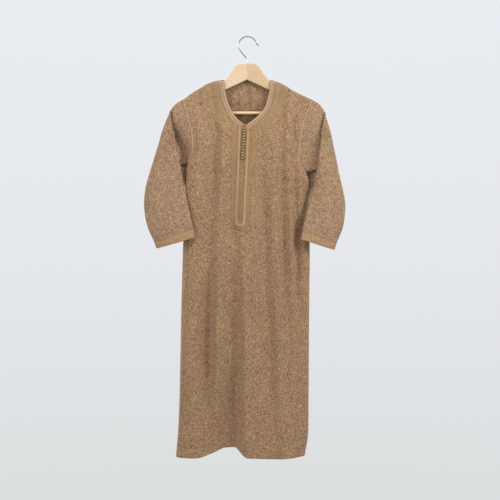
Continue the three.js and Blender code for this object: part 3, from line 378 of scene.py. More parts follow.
def panel_y(side, x, z):
    s = s_at(x, z)
    folds, creases = (FRONT_FOLDS, FRONT_CREASES) if side == "front" else (BACK_FOLDS, BACK_CREASES)
    soft = smooth(0, 26, shoulder_z(x) - z) * (1 - np.abs(s) ** 10)
    deeper = np.interp(-z, [314, 634, 954, 1276], [2.0, 1.7, 1.25, 1.0])
    go_in = fold_in(folds, x, z) * (1 - np.abs(s) ** 10) * deeper
    go_in = go_in + (1.5 * crease_in(creases, x, z) + 0.5 * ripple(x, z, 0.7 if side == "front" else 2.9)) * soft
    d = half_depth(side, s, z, x)
    # over the hanger's arms the cloth stays outside them
    on_arm = smooth(-150, -136, z + ARM_SLOPE * np.abs(x))
    go_in = np.minimum(go_in, lerp(99.0, np.maximum(0, d - 9.4), on_arm))
    # the turned-up hem is a little thicker
    d = d - go_in + 0.9 * (1 - smooth(19, 24, z - hem_z(s)))
    # beside the right sleeve the side seam hangs further back
    behind = 11 * smooth(-425, -485, z) * smooth(-705, -610, z) * smooth(148, 180, x)
    return (-d if side == "front" else d) + behind


def on_panel(side, x, z, lift):
    """Points on a panel at x and z, moved out along its normal."""
    x, z = np.asarray(x, float), np.asarray(z, float)
    y = panel_y(side, x, z)
    e = 0.6
    fx = (panel_y(side, x + e, z) - panel_y(side, x - e, z)) / (2 * e)
    fz = (panel_y(side, x, z + e) - panel_y(side, x, z - e)) / (2 * e)
    sign = -1.0 if side == "front" else 1.0
    n = unit(np.stack([-sign * fx, np.full_like(fx, sign), -sign * fz], -1))
    p = np.stack([x, y, z], -1)
    return p + n * np.asarray(lift, float)[..., None]


def pit_z(s):
    return lerp(ARMPIT["left"], ARMPIT["right"], (s + 1) / 2)


# ---------------------------------------------------------------- meshes
def normals(P, F):
    n = np.zeros_like(P)
    if F.shape[1] == 4:
        f = np.cross(P[F[:, 2]] - P[F[:, 0]], P[F[:, 3]] - P[F[:, 1]])
    else:
        f = np.cross(P[F[:, 1]] - P[F[:, 0]], P[F[:, 2]] - P[F[:, 0]])
    for i in range(F.shape[1]):
        np.add.at(n, F[:, i], f)
    return unit(n)


def grid_faces(rows, cols, wrap=False, flip=False):
    r, c = np.meshgrid(np.arange(rows - 1), np.arange(cols if wrap else cols - 1), indexing="ij")
    r, c = r.ravel(), c.ravel()
    c1 = (c + 1) % cols
    q = np.stack([r * cols + c, r * cols + c1, (r + 1) * cols + c1, (r + 1) * cols + c], 1)
    return q[:, ::-1].copy() if flip else q


def weld(P, F, near=0.01):
    key = np.round(P / near).astype(np.int64)
    _, first, back = np.unique(key, axis=0, return_index=True, return_inverse=True)
    return P[first], back.reshape(-1)[F]


def rim_edges(F, n):
    e = np.concatenate([np.stack([F[:, i], F[:, (i + 1) % F.shape[1]]], 1) for i in range(F.shape[1])])
    k = np.sort(e, 1)
    k = k[:, 0] * n + k[:, 1]
    _, first, count = np.unique(k, return_index=True, return_counts=True)
    return e[first[count == 1]]


def closed(P, Q, F, bulge=0.0):
    """A closed piece between an outer and an inner surface. bulge: how round its edges are."""
    n = len(P)
    E = rim_edges(F, n)
    nrm = normals(P, F)
    out = np.zeros_like(P)
    d = np.cross(unit(P[E[:, 1]] - P[E[:, 0]]), nrm[E[:, 0]])
    np.add.at(out, E[:, 0], d)
    np.add.at(out, E[:, 1], d)
    out = unit(out)
    rim = np.unique(E)
    slot = np.full(n, -1)
    slot[rim] = np.arange(len(rim)) + 2 * n
    thick = np.linalg.norm(P[rim] - Q[rim], axis=1, keepdims=True)
    b = bulge[rim][:, None] if isinstance(bulge, np.ndarray) else bulge
    M = (P[rim] + Q[rim]) / 2 + out[rim] * thick * b
    a, c = E[:, 0], E[:, 1]
    faces = np.concatenate([
        F, F[:, ::-1] + n,
        np.stack([c, a, slot[a], slot[c]], 1),
        np.stack([slot[c], slot[a], a + n, c + n], 1),
    ]) if F.shape[1] == 4 else None
    return np.concatenate([P, Q, M]), faces


PIECES = {}
GARMENT = []


def piece(name, P, F, mat, uv=None, nodes=(), sharp=None):
    me = bpy.data.meshes.new(name)
    me.from_pydata((np.asarray(P) * MM).tolist(), [], [list(map(int, f)) for f in F])
    me.validate()
    me.update()
    me.polygons.foreach_set("use_smooth", [True] * len(me.polygons))
    if sharp:
        me.set_sharp_from_angle(angle=math.radians(sharp))
    if uv is not None:
        layer = me.uv_layers.new(name="cloth")
        idx = np.zeros(len(me.loops), np.int32)
        me.loops.foreach_get("vertex_index", idx)
        layer.data.foreach_set("uv", (uv[idx] * MM).astype(np.float32).ravel())
    ob = bpy.data.objects.new(name, me)
    bpy.context.scene.collection.objects.link(ob)
    me.materials.append(mat)
    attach(ob, "root")
    if nodes:
        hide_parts(*nodes)
    PIECES[name] = ob
    return ob


def tube(path, radius, sides=12, squash=1.0, up=None):
    """A closed tube along points. radius: one number, or one for each point."""
    p = np.asarray(path, float)
    n = len(p)
    r = np.full(n, radius, float) if np.isscalar(radius) else np.asarray(radius, float)
    t = unit(np.gradient(p, axis=0))
    ref = np.array([0.0, 1.0, 0.0]) if up is None else np.asarray(up, float)
    if ref.ndim == 1:
        ref = np.tile(ref, (n, 1))
    u = unit(np.cross(t, ref))
    v = unit(np.cross(u, t))
    a = np.arange(sides) * 2 * np.pi / sides
    ring = (p[:, None] + u[:, None] * np.cos(a)[None, :, None] * r[:, None, None]
            + v[:, None] * np.sin(a)[None, :, None] * r[:, None, None] * squash)
    P = ring.reshape(-1, 3)
    F = grid_faces(n, sides, wrap=True).tolist()
    first, last = len(P), len(P) + 1
    P = np.concatenate([P, p[:1] - t[:1] * r[0] * 0.5, p[-1:] + t[-1:] * r[-1] * 0.5])
    for i in range(sides):
        j = (i + 1) % sides
        F.append([first, j, i])
        F.append([last, (n - 1) * sides + i, (n - 1) * sides + j])
    vol = volume(P, F)
    if vol < 0:
        F = [f[::-1] for f in F]
    return P, F


def volume(P, F):
    tri = []
    for f in F:
        for i in range(1, len(f) - 1):
            tri.append((f[0], f[i], f[i + 1]))
    tri = np.array(tri)
    return float((P[tri[:, 0]] * np.cross(P[tri[:, 1]], P[tri[:, 2]])).sum() / 6)


def join(parts):
    P, F, at = [], [], 0
    for p, f in parts:
        P.append(p)
        F.extend([[i + at for i in q] for q in f])
        at += len(p)
    return np.concatenate(P), F


def walk(points, step):
    """Points at even steps along a line."""
    p = np.asarray(points, float)
    d = np.concatenate([[0], np.cumsum(np.linalg.norm(np.diff(p, axis=0), axis=1))])
    n = max(1, int(round(d[-1] / step)))
    at = np.linspace(0, d[-1], n + 1)
    return np.stack([np.interp(at, d, p[:, i]) for i in range(p.shape[1])], 1)


def stitch_row(centre, normal, pitch, length, r, slant=0.0, keep=None):
    """Short thread stitches that lie along a line of surface points."""
    d = np.concatenate([[0], np.cumsum(np.linalg.norm(np.diff(centre, axis=0), axis=1))])
    n = int(d[-1] / pitch)
    if n < 1:
        return []
    mid = (np.arange(n) + 0.5) * (d[-1] / n)

    def at(s, a):
        return np.stack([np.interp(s, d, a[:, i]) for i in range(3)], 1)

    c, nn = at(mid, centre), unit(at(mid, normal))
    t = unit(at(mid + 0.8, centre) - at(mid - 0.8, centre))
    w = unit(np.cross(nn, t))
    t = unit(t + w * slant)
    w = unit(np.cross(nn, t))
    sec = np.array([-0.5, -0.36, 0.0, 0.36, 0.5])
    rad = np.array([0.25, 0.85, 1.0, 0.85, 0.25]) * r
    rise = np.array([-0.55, 0.0, 0.25, 0.0, -0.55]) * r
    ang = np.arange(6) * np.pi / 3
    parts = []
    F = grid_faces(5, 6, wrap=True).tolist() + [[5, 4, 3, 2, 1, 0], [24, 25, 26, 27, 28, 29]]
    for i in range(n):
        ctr = c[i] + t[i] * (sec * length)[:, None] + nn[i] * rise[:, None]
        ring = (ctr[:, None] + w[i] * np.cos(ang)[None, :, None] * rad[:, None, None]
                + nn[i] * np.sin(ang)[None, :, None] * rad[:, None, None] * 0.8)
        parts.append((ring.reshape(-1, 3), F))
    if parts and volume(*parts[0]) < 0:
        parts = [(p, [f[::-1] for f in F]) for p, F in parts]
    return parts


def panel_line(side, pts, lift):
    """Surface points and normals along a line of (x, z) on a panel."""
    pts = np.asarray(pts, float)
    a = on_panel(side, pts[:, 0], pts[:, 1], np.full(len(pts), lift))
    b = on_panel(side, pts[:, 0], pts[:, 1], np.full(len(pts), lift + 1.0))
    return a, b - a


# ---------------------------------------------------------------- materials
def srgb(r, g, b):
    def f(v):
        v /= 255
        return v / 12.92 if v <= 0.04045 else ((v + 0.055) / 1.055) ** 2.4
    return (f(r), f(g), f(b), 1.0)


class Nodes:
    def __init__(self, name):
        self.mat = bpy.data.materials.new(name)
        self.mat.use_nodes = True
        self.t = self.mat.node_tree
        self.t.nodes.clear()
        self.out = self.t.nodes.new("ShaderNodeOutputMaterial")
        self.bsdf = self.t.nodes.new("ShaderNodeBsdfPrincipled")
        self.link(self.bsdf.outputs[0], self.out.inputs[0])

    def link(self, a, b):
        self.t.links.new(a, b)

    def put(self, socket, v):
        if isinstance(v, bpy.types.NodeSocket):
            self.link(v, socket)
        else:
            socket.default_value = v

    def node(self, kind, **inputs):
        n = self.t.nodes.new(kind)
        for k, v in inputs.items():
            self.put(n.inputs[k.replace("_", " ")], v)
        return n

    def coords(self, scale=(1, 1, 1), at=(0, 0, 0), turn=(0, 0, 0), uv=None):
        if uv:
            c = self.t.nodes.new("ShaderNodeUVMap")
            c.uv_map = uv
            src = c.outputs[0]
        else:
            src = self.t.nodes.new("ShaderNodeTexCoord").outputs["Object"]
        m = self.t.nodes.new("ShaderNodeMapping")
        self.link(src, m.inputs["Vector"])
        m.inputs["Scale"].default_value = scale
        m.inputs["Location"].default_value = at
        m.inputs["Rotation"].default_value = turn
        return m.outputs[0]

    def noise(self, vec, scale, detail=2.0, rough=0.5, distort=0.0):
        n = self.node("ShaderNodeTexNoise", Vector=vec, Scale=scale, Detail=detail, Roughness=rough, Distortion=distort)
        return n.outputs["Fac"]

    def ramp(self, fac, *stops):
        n = self.t.nodes.new("ShaderNodeValToRGB")
        self.put(n.inputs[0], fac)
        e = n.color_ramp.elements
        while len(e) < len(stops):
            e.new(0.5)
        for el, (pos, col) in zip(e, stops):
            el.position = pos
            el.color = (col, col, col, 1) if isinstance(col, (int, float)) else col
        return n.outputs[0]

    def math(self, op, a, b=0.0, c=0.0, clamp=False):
        n = self.t.nodes.new("ShaderNodeMath")
        n.operation = op
        n.use_clamp = clamp
        for i, v in enumerate((a, b, c)):
            self.put(n.inputs[i], v)
        return n.outputs[0]

    def mix(self, fac, a, b, mode="MIX"):
        n = self.t.nodes.new("ShaderNodeMix")
        n.data_type = "RGBA"
        n.blend_type = mode
        self.put(n.inputs[0], fac)
        self.put(n.inputs[6], a)
        self.put(n.inputs[7], b)
        return n.outputs[2]

    def bump(self, height, strength, distance, normal=None):
        n = self.node("ShaderNodeBump", Height=height, Strength=strength, Distance=distance)
        if normal is not None:
            self.link(normal, n.inputs["Normal"])
        return n.outputs[0]

    def done(self, color, rough, normal=None, **sockets):
        self.put(self.bsdf.inputs["Base Color"], color)
        self.put(self.bsdf.inputs["Roughness"], rough)
        if normal is not None:
            self.link(normal, self.bsdf.inputs["Normal"])
        for k, v in sockets.items():
            self.bsdf.inputs[k.replace("_", " ")].default_value = v
        return self.mat


def speckled(name, dark, mid, light, dim=1.0, fine_scale=1.0, contrast=1.0, hues=1.0):
    """Tweed-like cloth: light and dark curled flecks in a brown ground, with a soft nap."""
    m = Nodes(name)

    def c(v):
        return tuple(x * dim for x in srgb(*v)[:3]) + (1.0,)
    # slow bends, so that the flecks curl
    base = m.coords(scale=(1, 1, 0.62))
    bend = m.node("ShaderNodeTexNoise", Vector=base, Scale=120.0, Detail=1.0).outputs["Color"]
    shift = m.t.nodes.new("ShaderNodeVectorMath")
    shift.operation = "SCALE"
    centre = m.t.nodes.new("ShaderNodeVectorMath")
    centre.operation = "SUBTRACT"
    m.link(bend, centre.inputs[0])
    centre.inputs[1].default_value = (0.5, 0.5, 0.5)
    m.link(centre.outputs[0], shift.inputs[0])
    shift.inputs["Scale"].default_value = 0.0075
    add = m.t.nodes.new("ShaderNodeVectorMath")
    add.operation = "ADD"
    m.link(base, add.inputs[0])
    m.link(shift.outputs[0], add.inputs[1])
    vec = add.outputs[0]
    off = m.t.nodes.new("ShaderNodeVectorMath")
    off.operation = "ADD"
    m.link(vec, off.inputs[0])
    off.inputs[1].default_value = (3.1, 1.7, 5.3)
    light_f = m.noise(vec, 500.0 * fine_scale, 1.5, 0.55, 0.5)
    dark_f = m.noise(off.outputs[0], 440.0 * fine_scale, 1.5, 0.55, 0.5)
    fine = m.noise(m.coords(scale=(1, 1, 0.7)), 900.0, 2.0, 0.6)
    patch = m.noise(m.coords(scale=(1, 1, 0.5)), 24.0, 2.0, 0.5)
    hue = m.noise(m.coords(scale=(1, 1, 0.6), at=(2, 4, 1)), 38.0, 2.0, 0.55)
    ground = m.mix(m.ramp(hue, (0.36, 0), (0.64, 1)), c((mid[0] + 3 * hues, mid[1] - 3 * hues, mid[2] - 3 * hues)), c((mid[0] - 2 * hues, mid[1] + 2 * hues, mid[2] - 2 * hues)))
    lm = m.ramp(light_f, (0.50, 0), (0.60, 1))
    dm = m.ramp(dark_f, (0.50, 0), (0.62, 1))
    col = m.mix(m.math("MULTIPLY", lm, 0.85 * contrast), ground, c(light))
    col = m.mix(m.math("MULTIPLY", dm, 0.80 * contrast), col, c(dark))
    fm = m.ramp(fine, (0.3, 0.86), (0.7, 1.12))
    col = m.mix(1.0, col, fm, "MULTIPLY")
    pm = m.ramp(patch, (0.35, 0.955), (0.65, 1.03))
    col = m.mix(1.0, col, pm, "MULTIPLY")
    # height: yarn relief, weave and fuzz
    wx = m.node("ShaderNodeTexWave", Vector=m.coords(scale=(1, 1, 1)), Scale=520.0, Distortion=1.2, Detail=1.0)
    wx.bands_direction = "X"
    wz = m.node("ShaderNodeTexWave", Vector=m.coords(scale=(1, 1, 1)), Scale=520.0, Distortion=1.2, Detail=1.0)
    wz.bands_direction = "Z"
    weave = m.math("MULTIPLY", wx.outputs["Fac"], wz.outputs["Fac"])
    h = m.math("ADD", m.math("MULTIPLY", light_f, 0.9), m.math("MULTIPLY", fine, 0.5))
    h = m.math("ADD", h, m.math("MULTIPLY", weave, 0.35))
    nrm = m.bump(h, 0.55, 0.0011)
    rough = m.ramp(fine, (0.3, 0.86), (0.7, 0.98))
    return m.done(col, rough, nrm, Sheen_Weight=0.12, Sheen_Roughness=0.5, Sheen_Tint=(0.9, 0.75, 0.6, 1), Specular_IOR_Level=0.18)


def smooth_band(name, colour, dim=1.0, ribs=True, contrast=1.0):
    """Close twill of the bands sewn on the cloth."""
    m = Nodes(name)
    a = tuple(x * dim for x in srgb(*colour)[:3]) + (1.0,)
    b = tuple(x * dim * 0.86 for x in srgb(*colour)[:3]) + (1.0,)
    fleck = m.noise(m.coords(scale=(1, 1, 0.6)), 330.0, 2.0, 0.6, 0.8)
    slub = m.noise(m.coords(scale=(1, 1, 0.25), at=(1, 2, 3)), 130.0, 2.0, 0.6)
    col = m.mix(m.ramp(fleck, (0.38, 1), (0.62, 0)), a, b)
    col = m.mix(1.0, col, m.ramp(slub, (0.3, 0.94), (0.7, 1.05)), "MULTIPLY")
    tw = m.node("ShaderNodeTexWave", Vector=m.coords(turn=(0, 0.7, 0)), Scale=620.0, Distortion=0.6, Detail=1.0)
    tw.bands_direction = "X"
    h = m.math("ADD", m.math("MULTIPLY", tw.outputs["Fac"], 0.6), m.math("MULTIPLY", fleck, 0.6))
    nrm = m.bump(h, 0.5, 0.0006)
    return m.done(col, m.ramp(fleck, (0.3, 0.78), (0.7, 0.92)), nrm, Sheen_Weight=0.1, Sheen_Roughness=0.45, Specular_IOR_Level=0.22)


def corded(name, colour, dim=1.0, gloss=0.62):
    """Twisted silky thread of the braids, loops and buttons, with painted shade in the grooves of its twist."""
    m = Nodes(name)
    a = tuple(x * dim for x in srgb(*colour)[:3]) + (1.0,)
    b = tuple(x * dim * 0.7 for x in srgb(*colour)[:3]) + (1.0,)
    tw = m.node("ShaderNodeTexWave", Vector=m.coords(turn=(0, 0.8, 0)), Scale=430.0, Distortion=2.0, Detail=1.5, Detail_Scale=2.0)
    tw.bands_direction = "X"
    tx = m.node("ShaderNodeTexWave", Vector=m.coords(turn=(0, -0.8, 0)), Scale=430.0, Distortion=2.0, Detail=1.5, Detail_Scale=2.0)
    tx.bands_direction = "X"
    plait = m.math("MAXIMUM", tw.outputs["Fac"], tx.outputs["Fac"])
    fine = m.noise(m.coords(), 800.0, 2.0, 0.6)
    # painted shade: the low parts of the plait, the grooves between the twisted plies, are coloured darker
    col = m.mix(m.ramp(plait, (0.25, 1), (0.75, 0)), a, b)
    col = m.mix(1.0, col, m.ramp(fine, (0.3, 0.9), (0.7, 1.08)), "MULTIPLY")
    nrm = m.bump(m.math("ADD", plait, m.math("MULTIPLY", fine, 0.3)), 0.6, 0.0005)
    return m.done(col, m.ramp(fine, (0.3, gloss), (0.7, gloss + 0.14)), nrm, Specular_IOR_Level=0.3, Sheen_Weight=0.08)


def wooden(name, light, dark, turn, dim=1.0):
    """Lacquered beech with the grain along one arm. turn: the grain's angle from level."""
    m = Nodes(name)
    v = m.coords(scale=(3.0, 26, 42), turn=(0, turn, 0))
    a = tuple(x * dim for x in srgb(*light)[:3]) + (1.0,)
    b = tuple(x * dim for x in srgb(*dark)[:3]) + (1.0,)
    rings = m.node("ShaderNodeTexWave", Vector=v, Scale=1.1, Distortion=5.0, Detail=3.0, Detail_Scale=1.6)
    rings.bands_direction = "Z"
    pores = m.noise(m.coords(scale=(14, 190, 300), turn=(0, turn, 0)), 5.0, 3.0, 0.6)
    big = m.noise(m.coords(scale=(2, 6, 9), turn=(0, turn, 0)), 3.0, 2.0)
    col = m.mix(m.ramp(rings.outputs["Fac"], (0.1, 0.0), (0.9, 0.32)), a, b)
    col = m.mix(m.ramp(pores, (0.54, 0), (0.72, 0.30)), col, b)
    col = m.mix(1.0, col, m.ramp(big, (0.3, 0.96), (0.7, 1.03)), "MULTIPLY")
    nrm = m.bump(m.math("ADD", m.math("MULTIPLY", pores, 0.6), m.math("MULTIPLY", rings.outputs["Fac"], 0.2)), 0.12, 0.0004)
    return m.done(col, m.ramp(pores, (0.3, 0.36), (0.7, 0.5)), nrm, Coat_Weight=0.25, Coat_Roughness=0.22)


def wire_metal(name, colour, rough):
    m = Nodes(name)
    fine = m.noise(m.coords(scale=(1, 1, 6)), 260.0, 2.0, 0.6)
    col = m.mix(m.ramp(fine, (0.35, 0), (0.7, 1)), srgb(*colour), srgb(*[v * 0.8 for v in colour]))
    nrm = m.bump(fine, 0.03, 0.0001)
    return m.done(col, m.ramp(fine, (0.3, rough), (0.7, rough + 0.1)), nrm, Metallic=1.0)


CLOTH_MAT = speckled("cloth_speckled", (94, 63, 41), (160, 125, 94), (214, 181, 147), dim=0.648)
# The sleeves' copy of the body cloth is painted a little lighter and greyer: painted bounce light on the sleeves.
SLEEVE_LIT_MAT = speckled("cloth_speckled_sleeve", (94, 66, 46), (161, 127, 99), (214, 184, 154), dim=0.665, contrast=0.92)
# The back panel's copy of the body cloth is painted darker throughout: painted shade for the inside of the back under
# the hanger.
BACK_SHADED_MAT = speckled("cloth_speckled_back", (94, 63, 41), (160, 125, 94), (214, 181, 147), dim=0.59)
BAND_MAT = speckled("band_twill", (110, 79, 48), (161, 128, 94), (196, 163, 125), dim=0.665, fine_scale=1.0, contrast=0.85, hues=0.3)
PLACKET_MAT = speckled("placket_twill", (106, 75, 44), (159, 123, 87), (192, 156, 117), dim=0.665, fine_scale=1.1, contrast=0.8, hues=0.3)
CUFF_MAT = speckled("cuff_twill", (122, 90, 58), (170, 136, 102), (202, 169, 132), dim=0.71, fine_scale=1.0, contrast=0.85, hues=0.6)
BRAID_MAT = corded("braid_silk", (180, 145, 112), dim=0.70)
PIPING_MAT = corded("seam_braid", (206, 173, 140), dim=0.66)
CORD_MAT = corded("neck_cord", (208, 176, 144), dim=0.80)
LOOP_BRAID_MAT = corded("placket_braid", (194, 159, 118), dim=0.615)
BUTTON_MAT = corded("button_silk", (184, 146, 108), dim=0.84)
# Dark brown cord of the button loops: partly the cord's own colour, partly painted shade at both sides of the buttons.
LOOP_CORD_AND_SHADE_MAT = corded("loop_silk", (112, 76, 48), dim=0.8)
THREAD_MAT = corded("thread", (200, 166, 130), dim=0.75)
DARK_THREAD_MAT = corded("thread_dark", (120, 86, 56))
WOOD_L_MAT = wooden("beech_left", (184, 160, 132), (175, 143, 109), 0.45)
WOOD_R_MAT = wooden("beech_right", (173, 147, 115), (156, 126, 89), -0.45)
BAR_MAT = wooden("beech_bar", (193, 166, 129), (181, 147, 108), 0.0)
STEEL_MAT = wire_metal("bright_wire", (146, 148, 152), 0.34)
TIP_MAT = wire_metal("wire_end", (92, 92, 96), 0.4)


# ---------------------------------------------------------------- camera
cam_data = bpy.data.cameras.new("camera")
cam = bpy.data.objects.new("camera", cam_data)
bpy.context.scene.collection.objects.link(cam)
cam.location = (0.00915, -2.7, -0.6493)
cam.rotation_euler = (math.pi / 2, 0, 0)
cam_data.sensor_width = 36
cam_data.lens = 36 * 2.7 / 1.525
cam_data.clip_start, cam_data.clip_end = 0.05, 60
bpy.context.scene.camera = cam


# ---------------------------------------------------------------- front panel
neck_x = {k: curve(NECK, "z", k) for k in ("left", "right")}


def slit_x(z):
    """Middle of the front opening and, below it, of the panel."""
    z = np.asarray(z, float)
    return np.interp(-z, [272, 384, 600, 1300], [SLIT["topX"], SLIT["endX"], -17.0, -17.0])


def neck_inner(lr, n=90, lift=0.0):
    """The front neck edge, from the shoulder line down to the top of the opening."""
    out = -1 if lr == "left" else 1
    z = np.concatenate([[-124.0, -129.0], np.linspace(-133.4, -269.5, n)])
    x = np.concatenate([neck_x[lr](-133.4) + out * np.array([2.4, 1.4]), neck_x[lr](z[2:])])
    tip = [SLIT["topX"] + out * 0.5, -272.0]
    p = np.vstack([np.stack([x, z], 1), tip])
    # round the small corner where the edge turns into the opening
    for _ in range(3):
        q = p.copy()
        q[-6:-1] = (p[-7:-2] + p[-6:-1] + p[-5:]) / 3
        p = q
    keep = p[:, 1] < shoulder_z(p[:, 0]) - 0.02
    first = int(np.argmax(keep))
    top = p[first - 1], p[first]
    for _ in range(30):
        mid = (top[0] + top[1]) / 2
        top = (mid, top[1]) if mid[1] > shoulder_z(mid[0]) else (top[0], mid)
    return np.vstack([[top[1]], p[first:]])


def front_panel():
    cols, up, down = 60, 84, 236
    s_mid = float(s_at(slit_x(-399.0), np.array(-399.0)))
    g = spread(cols, (0.0, 0.05, 0.18), (1.0, 0.03, 0.6))
    halves = []
    for lr, sgn in (("left", -1), ("right", 1)):
        s = sgn + (s_mid - sgn) * g
        v = spread(up, (0.0, 0.03, 0.06))
        zo = lerp(TIP[lr], ARMPIT[lr], v)
        O = np.stack([edge_x[lr](zo), zo], 1)
        line = neck_inner(lr)
        zs = np.linspace(-272, -384, 60)[1:]
        low = np.array([[float(x_at(s_mid, np.array(float(pit_z(s_mid))))), float(pit_z(s_mid))]])
        inner = np.vstack([line, np.stack([slit_x(zs) + sgn * 0.5, zs], 1), low])
        d = np.concatenate([[0], np.cumsum(np.linalg.norm(np.diff(inner, axis=0), axis=1))])
        # even in length, a little finer at the top
        at = d[-1] * v
        I = np.stack([np.interp(at, d, inner[:, 0]), np.interp(at, d, inner[:, 1])], 1)
        tx = lerp(O[0, 0], I[0, 0], g)
        T = np.stack([tx, shoulder_z(tx)], 1)
        bz = pit_z(s)
        B = np.stack([x_at(s, bz), bz], 1)
        V, G = v[:, None, None], g[None, :, None]
        body = (1 - G) * O[:, None] + G * I[:, None]
        ct = (1 - G) * O[0] + G * I[0]
        cb = (1 - G) * O[-1] + G * I[-1]
        top = body + (1 - V) * (T[None] - ct) + V * (B[None] - cb)
        w = spread(down, (1.0, 0.02, 0.5))[1:, None]
        z = lerp(pit_z(s)[None], hem_z(s)[None], w)
        bottom = np.stack([x_at(np.broadcast_to(s, z.shape), z), z], 2)
        xz = np.concatenate([top, bottom])
        y = panel_y("front", xz[..., 0], xz[..., 1])
        y[: up + 1, 0] = panel_y("front", edge_x[lr](xz[: up + 1, 0, 1]), xz[: up + 1, 0, 1])
        P = np.stack([xz[..., 0], y, xz[..., 1]], 2)
        F = grid_faces(P.shape[0], P.shape[1], flip=(lr == "left"))
        halves.append((P.reshape(-1, 3), F))
    n = len(halves[0][0])
    P = np.concatenate([halves[0][0], halves[1][0]])
    F = np.concatenate([halves[0][1], halves[1][1] + n])
    P, F = weld(P, F)
    return P, F


def wall(P, F, side):
    """The cloth's inner face, kept on its own side of the side seams."""
    n = normals(P, F)
    Q = P - n * CLOTH
    if side == "front":
        Q[:, 1] = np.minimum(Q[:, 1], -GAP / 2)
    elif side == "back":
        Q[:, 1] = np.maximum(Q[:, 1], GAP / 2)
    return Q


def out_facing(P, F, y_sign):
    n = normals(P, F)
    return F if (n[:, 1] * y_sign).sum() > 0 else F[:, ::-1].copy()


P, F = front_panel()
F = out_facing(P, F, -1)
low = (P[:, 2] < SLIT_TOP).astype(float) * 0.3
SP, SF = closed(P, wall(P, F, "front"), F, low)
front = piece("cloth_front", SP, SF, CLOTH_MAT, uv=SP[:, [0, 2]], nodes=["front"], sharp=50)


# ---------------------------------------------------------------- back panel
def back_top(x):
    u = np.clip(np.abs(x) / BACK_NECK["side"], 0, 1.0)
    neck = lerp(BACK_NECK["midZ"], BACK_NECK["sideZ"], u ** 4)
    z = shoulder_z(x)
    return np.where(np.abs(x) < BACK_NECK["side"], np.minimum(z, neck), z)


def back_panel():
    cols, up, down = 108, 66, 224
    g = spread(cols, (0.0, 0.025, 0.18), (1.0, 0.025, 0.18))
    s = -1 + 2 * g
    v = spread(up, (0.0, 0.03, 0.06))
    z_top = np.zeros_like(s)
    for i, k in enumerate(s):
        z = -150.0
        for _ in range(50):
            z = lerp(z, float(back_top(x_at(k, np.array(z)))), 0.7)
        z_top[i] = z
    z = lerp(z_top[None], pit_z(s)[None], v[:, None])
    w = spread(down, (1.0, 0.02, 0.5))[1:, None]
    z = np.concatenate([z, lerp(pit_z(s)[None], hem_z(s)[None], w)])
    x = x_at(np.broadcast_to(s, z.shape), z)
    y = panel_y("back", x, z)
    P = np.stack([x, y, z], 2)
    return P.reshape(-1, 3), grid_faces(P.shape[0], P.shape[1])


P, F = back_panel()
F = out_facing(P, F, 1)
low = (P[:, 2] < SLIT_TOP).astype(float) * 0.3
SP, SF = closed(P, wall(P, F, "back"), F, low)
# the back panel takes the darker copy of the cloth: painted shade
back = piece("cloth_back", SP, SF, BACK_SHADED_MAT, uv=SP[:, [0, 2]], nodes=["back"], sharp=50)


# ---------------------------------------------------------------- sleeves and cuffs
HALF = 56
T_EVEN = (1 - np.cos(np.pi * np.arange(HALF + 1) / HALF)) / 2


def ring_points(row, t, sign, blend):
    o = np.array([row["ox"], row["oy"], row["oz"]], float)
    i = np.array([row["ix"], row["iy"], row["iz"]], float)
    line = i - o
    side = unit(np.array([-line[2], 0.0, line[0]]))
    if side[0] < 0:
        side = -side
    rounded = np.sin(np.arccos(np.clip(1 - 2 * t, -1, 1))) ** (0.42 if row["ring"] == "head" else 0.75)
    u = np.clip((t - 0.18) / 0.64, 0, 1)
    f = np.where(u < 0.5, lerp(row["top"], row["mid"], smooth(0, 0.5, u)), lerp(row["mid"], row["low"], smooth(0.5, 1, u)))
    d = -f * rounded if sign < 0 else row["back"] * rounded * (1 - 0.35 * smooth(0.5, 1, t) * blend)
    p = o + line * t[:, None] + side * (row["bow"] * 4 * t * (1 - t))[:, None]
    p[:, 1] += d
    return p


# Below the armhole each sleeve's cloth turns in behind the body's edge. x, y: how far its
# inner edge goes towards the body and to the back, ring by ring.
BEHIND = {
    "left": {"head": (6, 3), "valley": (14.5, 9), "under": (24, 17), "lip": (21, 21), "r4": (15, 22), "r5": (7.5, 22), "r6": (4, 0)},
    "right": {"head": (8, 3), "valley": (24, 10), "under": (34, 18), "lip": (32, 21), "r4": (24, 22), "r5": (15, 23), "r6": (9.5, 18), "r7": (5.5, 12), "r8": (2, 3)},
}
# The sleeve's upper layer hangs over the part that is sewn to the body: a ring just under its edge.
UNDER = {
    "left": dict(zip(RING.split(), ("under", -235, -229, -1, -206, -399, -3, -2, 1, -10, -15, 19))),
    "right": dict(zip(RING.split(), ("under", 239, -235, -2, 216.5, -415, -4, -2, 4, 9, 11, 12))),
}


def sleeve_frame(lr):
    """Rings of the sleeve, front half then back half: arrays of (ring, point, xyz)."""
    out = -1.0 if lr == "left" else 1.0
    z = lerp(TIP[lr], ARMPIT[lr], T_EVEN)
    rings = {}
    for sign, side in ((-1, "front"), (1, "back")):
        x = edge_x[lr](z)
        s = np.full_like(z, out)
        y = half_depth(side, s, z, x) * (-1 if side == "front" else 1)
        y[0] = y[-1] = 0
        first = np.stack([x + out * (GAP + 0.1), y, z], 1)
        rows = SLEEVES[lr]
        sets = [first]
        if lr == "left":
            sunk = [dict(rows[0], mid=12, low=-3, back=18), dict(rows[1], mid=-3, low=-12, back=19)]
        else:
            sunk = [rows[0], dict(rows[1], mid=13, low=14)]
        rows = sunk + [UNDER[lr]] + rows[2:]
        for j, row in enumerate(rows):
            p = ring_points(row, T_EVEN, sign, min(1, (j + 1) / 3))
            dx, dy = BEHIND[lr].get(row["ring"], (0, 0))
            p[:, 0] -= out * dx * (smooth(0.988, 1, T_EVEN) if sign < 0 else smooth(0.5, 0.97, T_EVEN))
            p[:, 1] += dy * (smooth(0.974, 0.996, T_EVEN) if sign < 0 else smooth(0.6, 0.86, T_EVEN))
            sets.append(p)
        rings[side] = np.array(sets)
    return rings


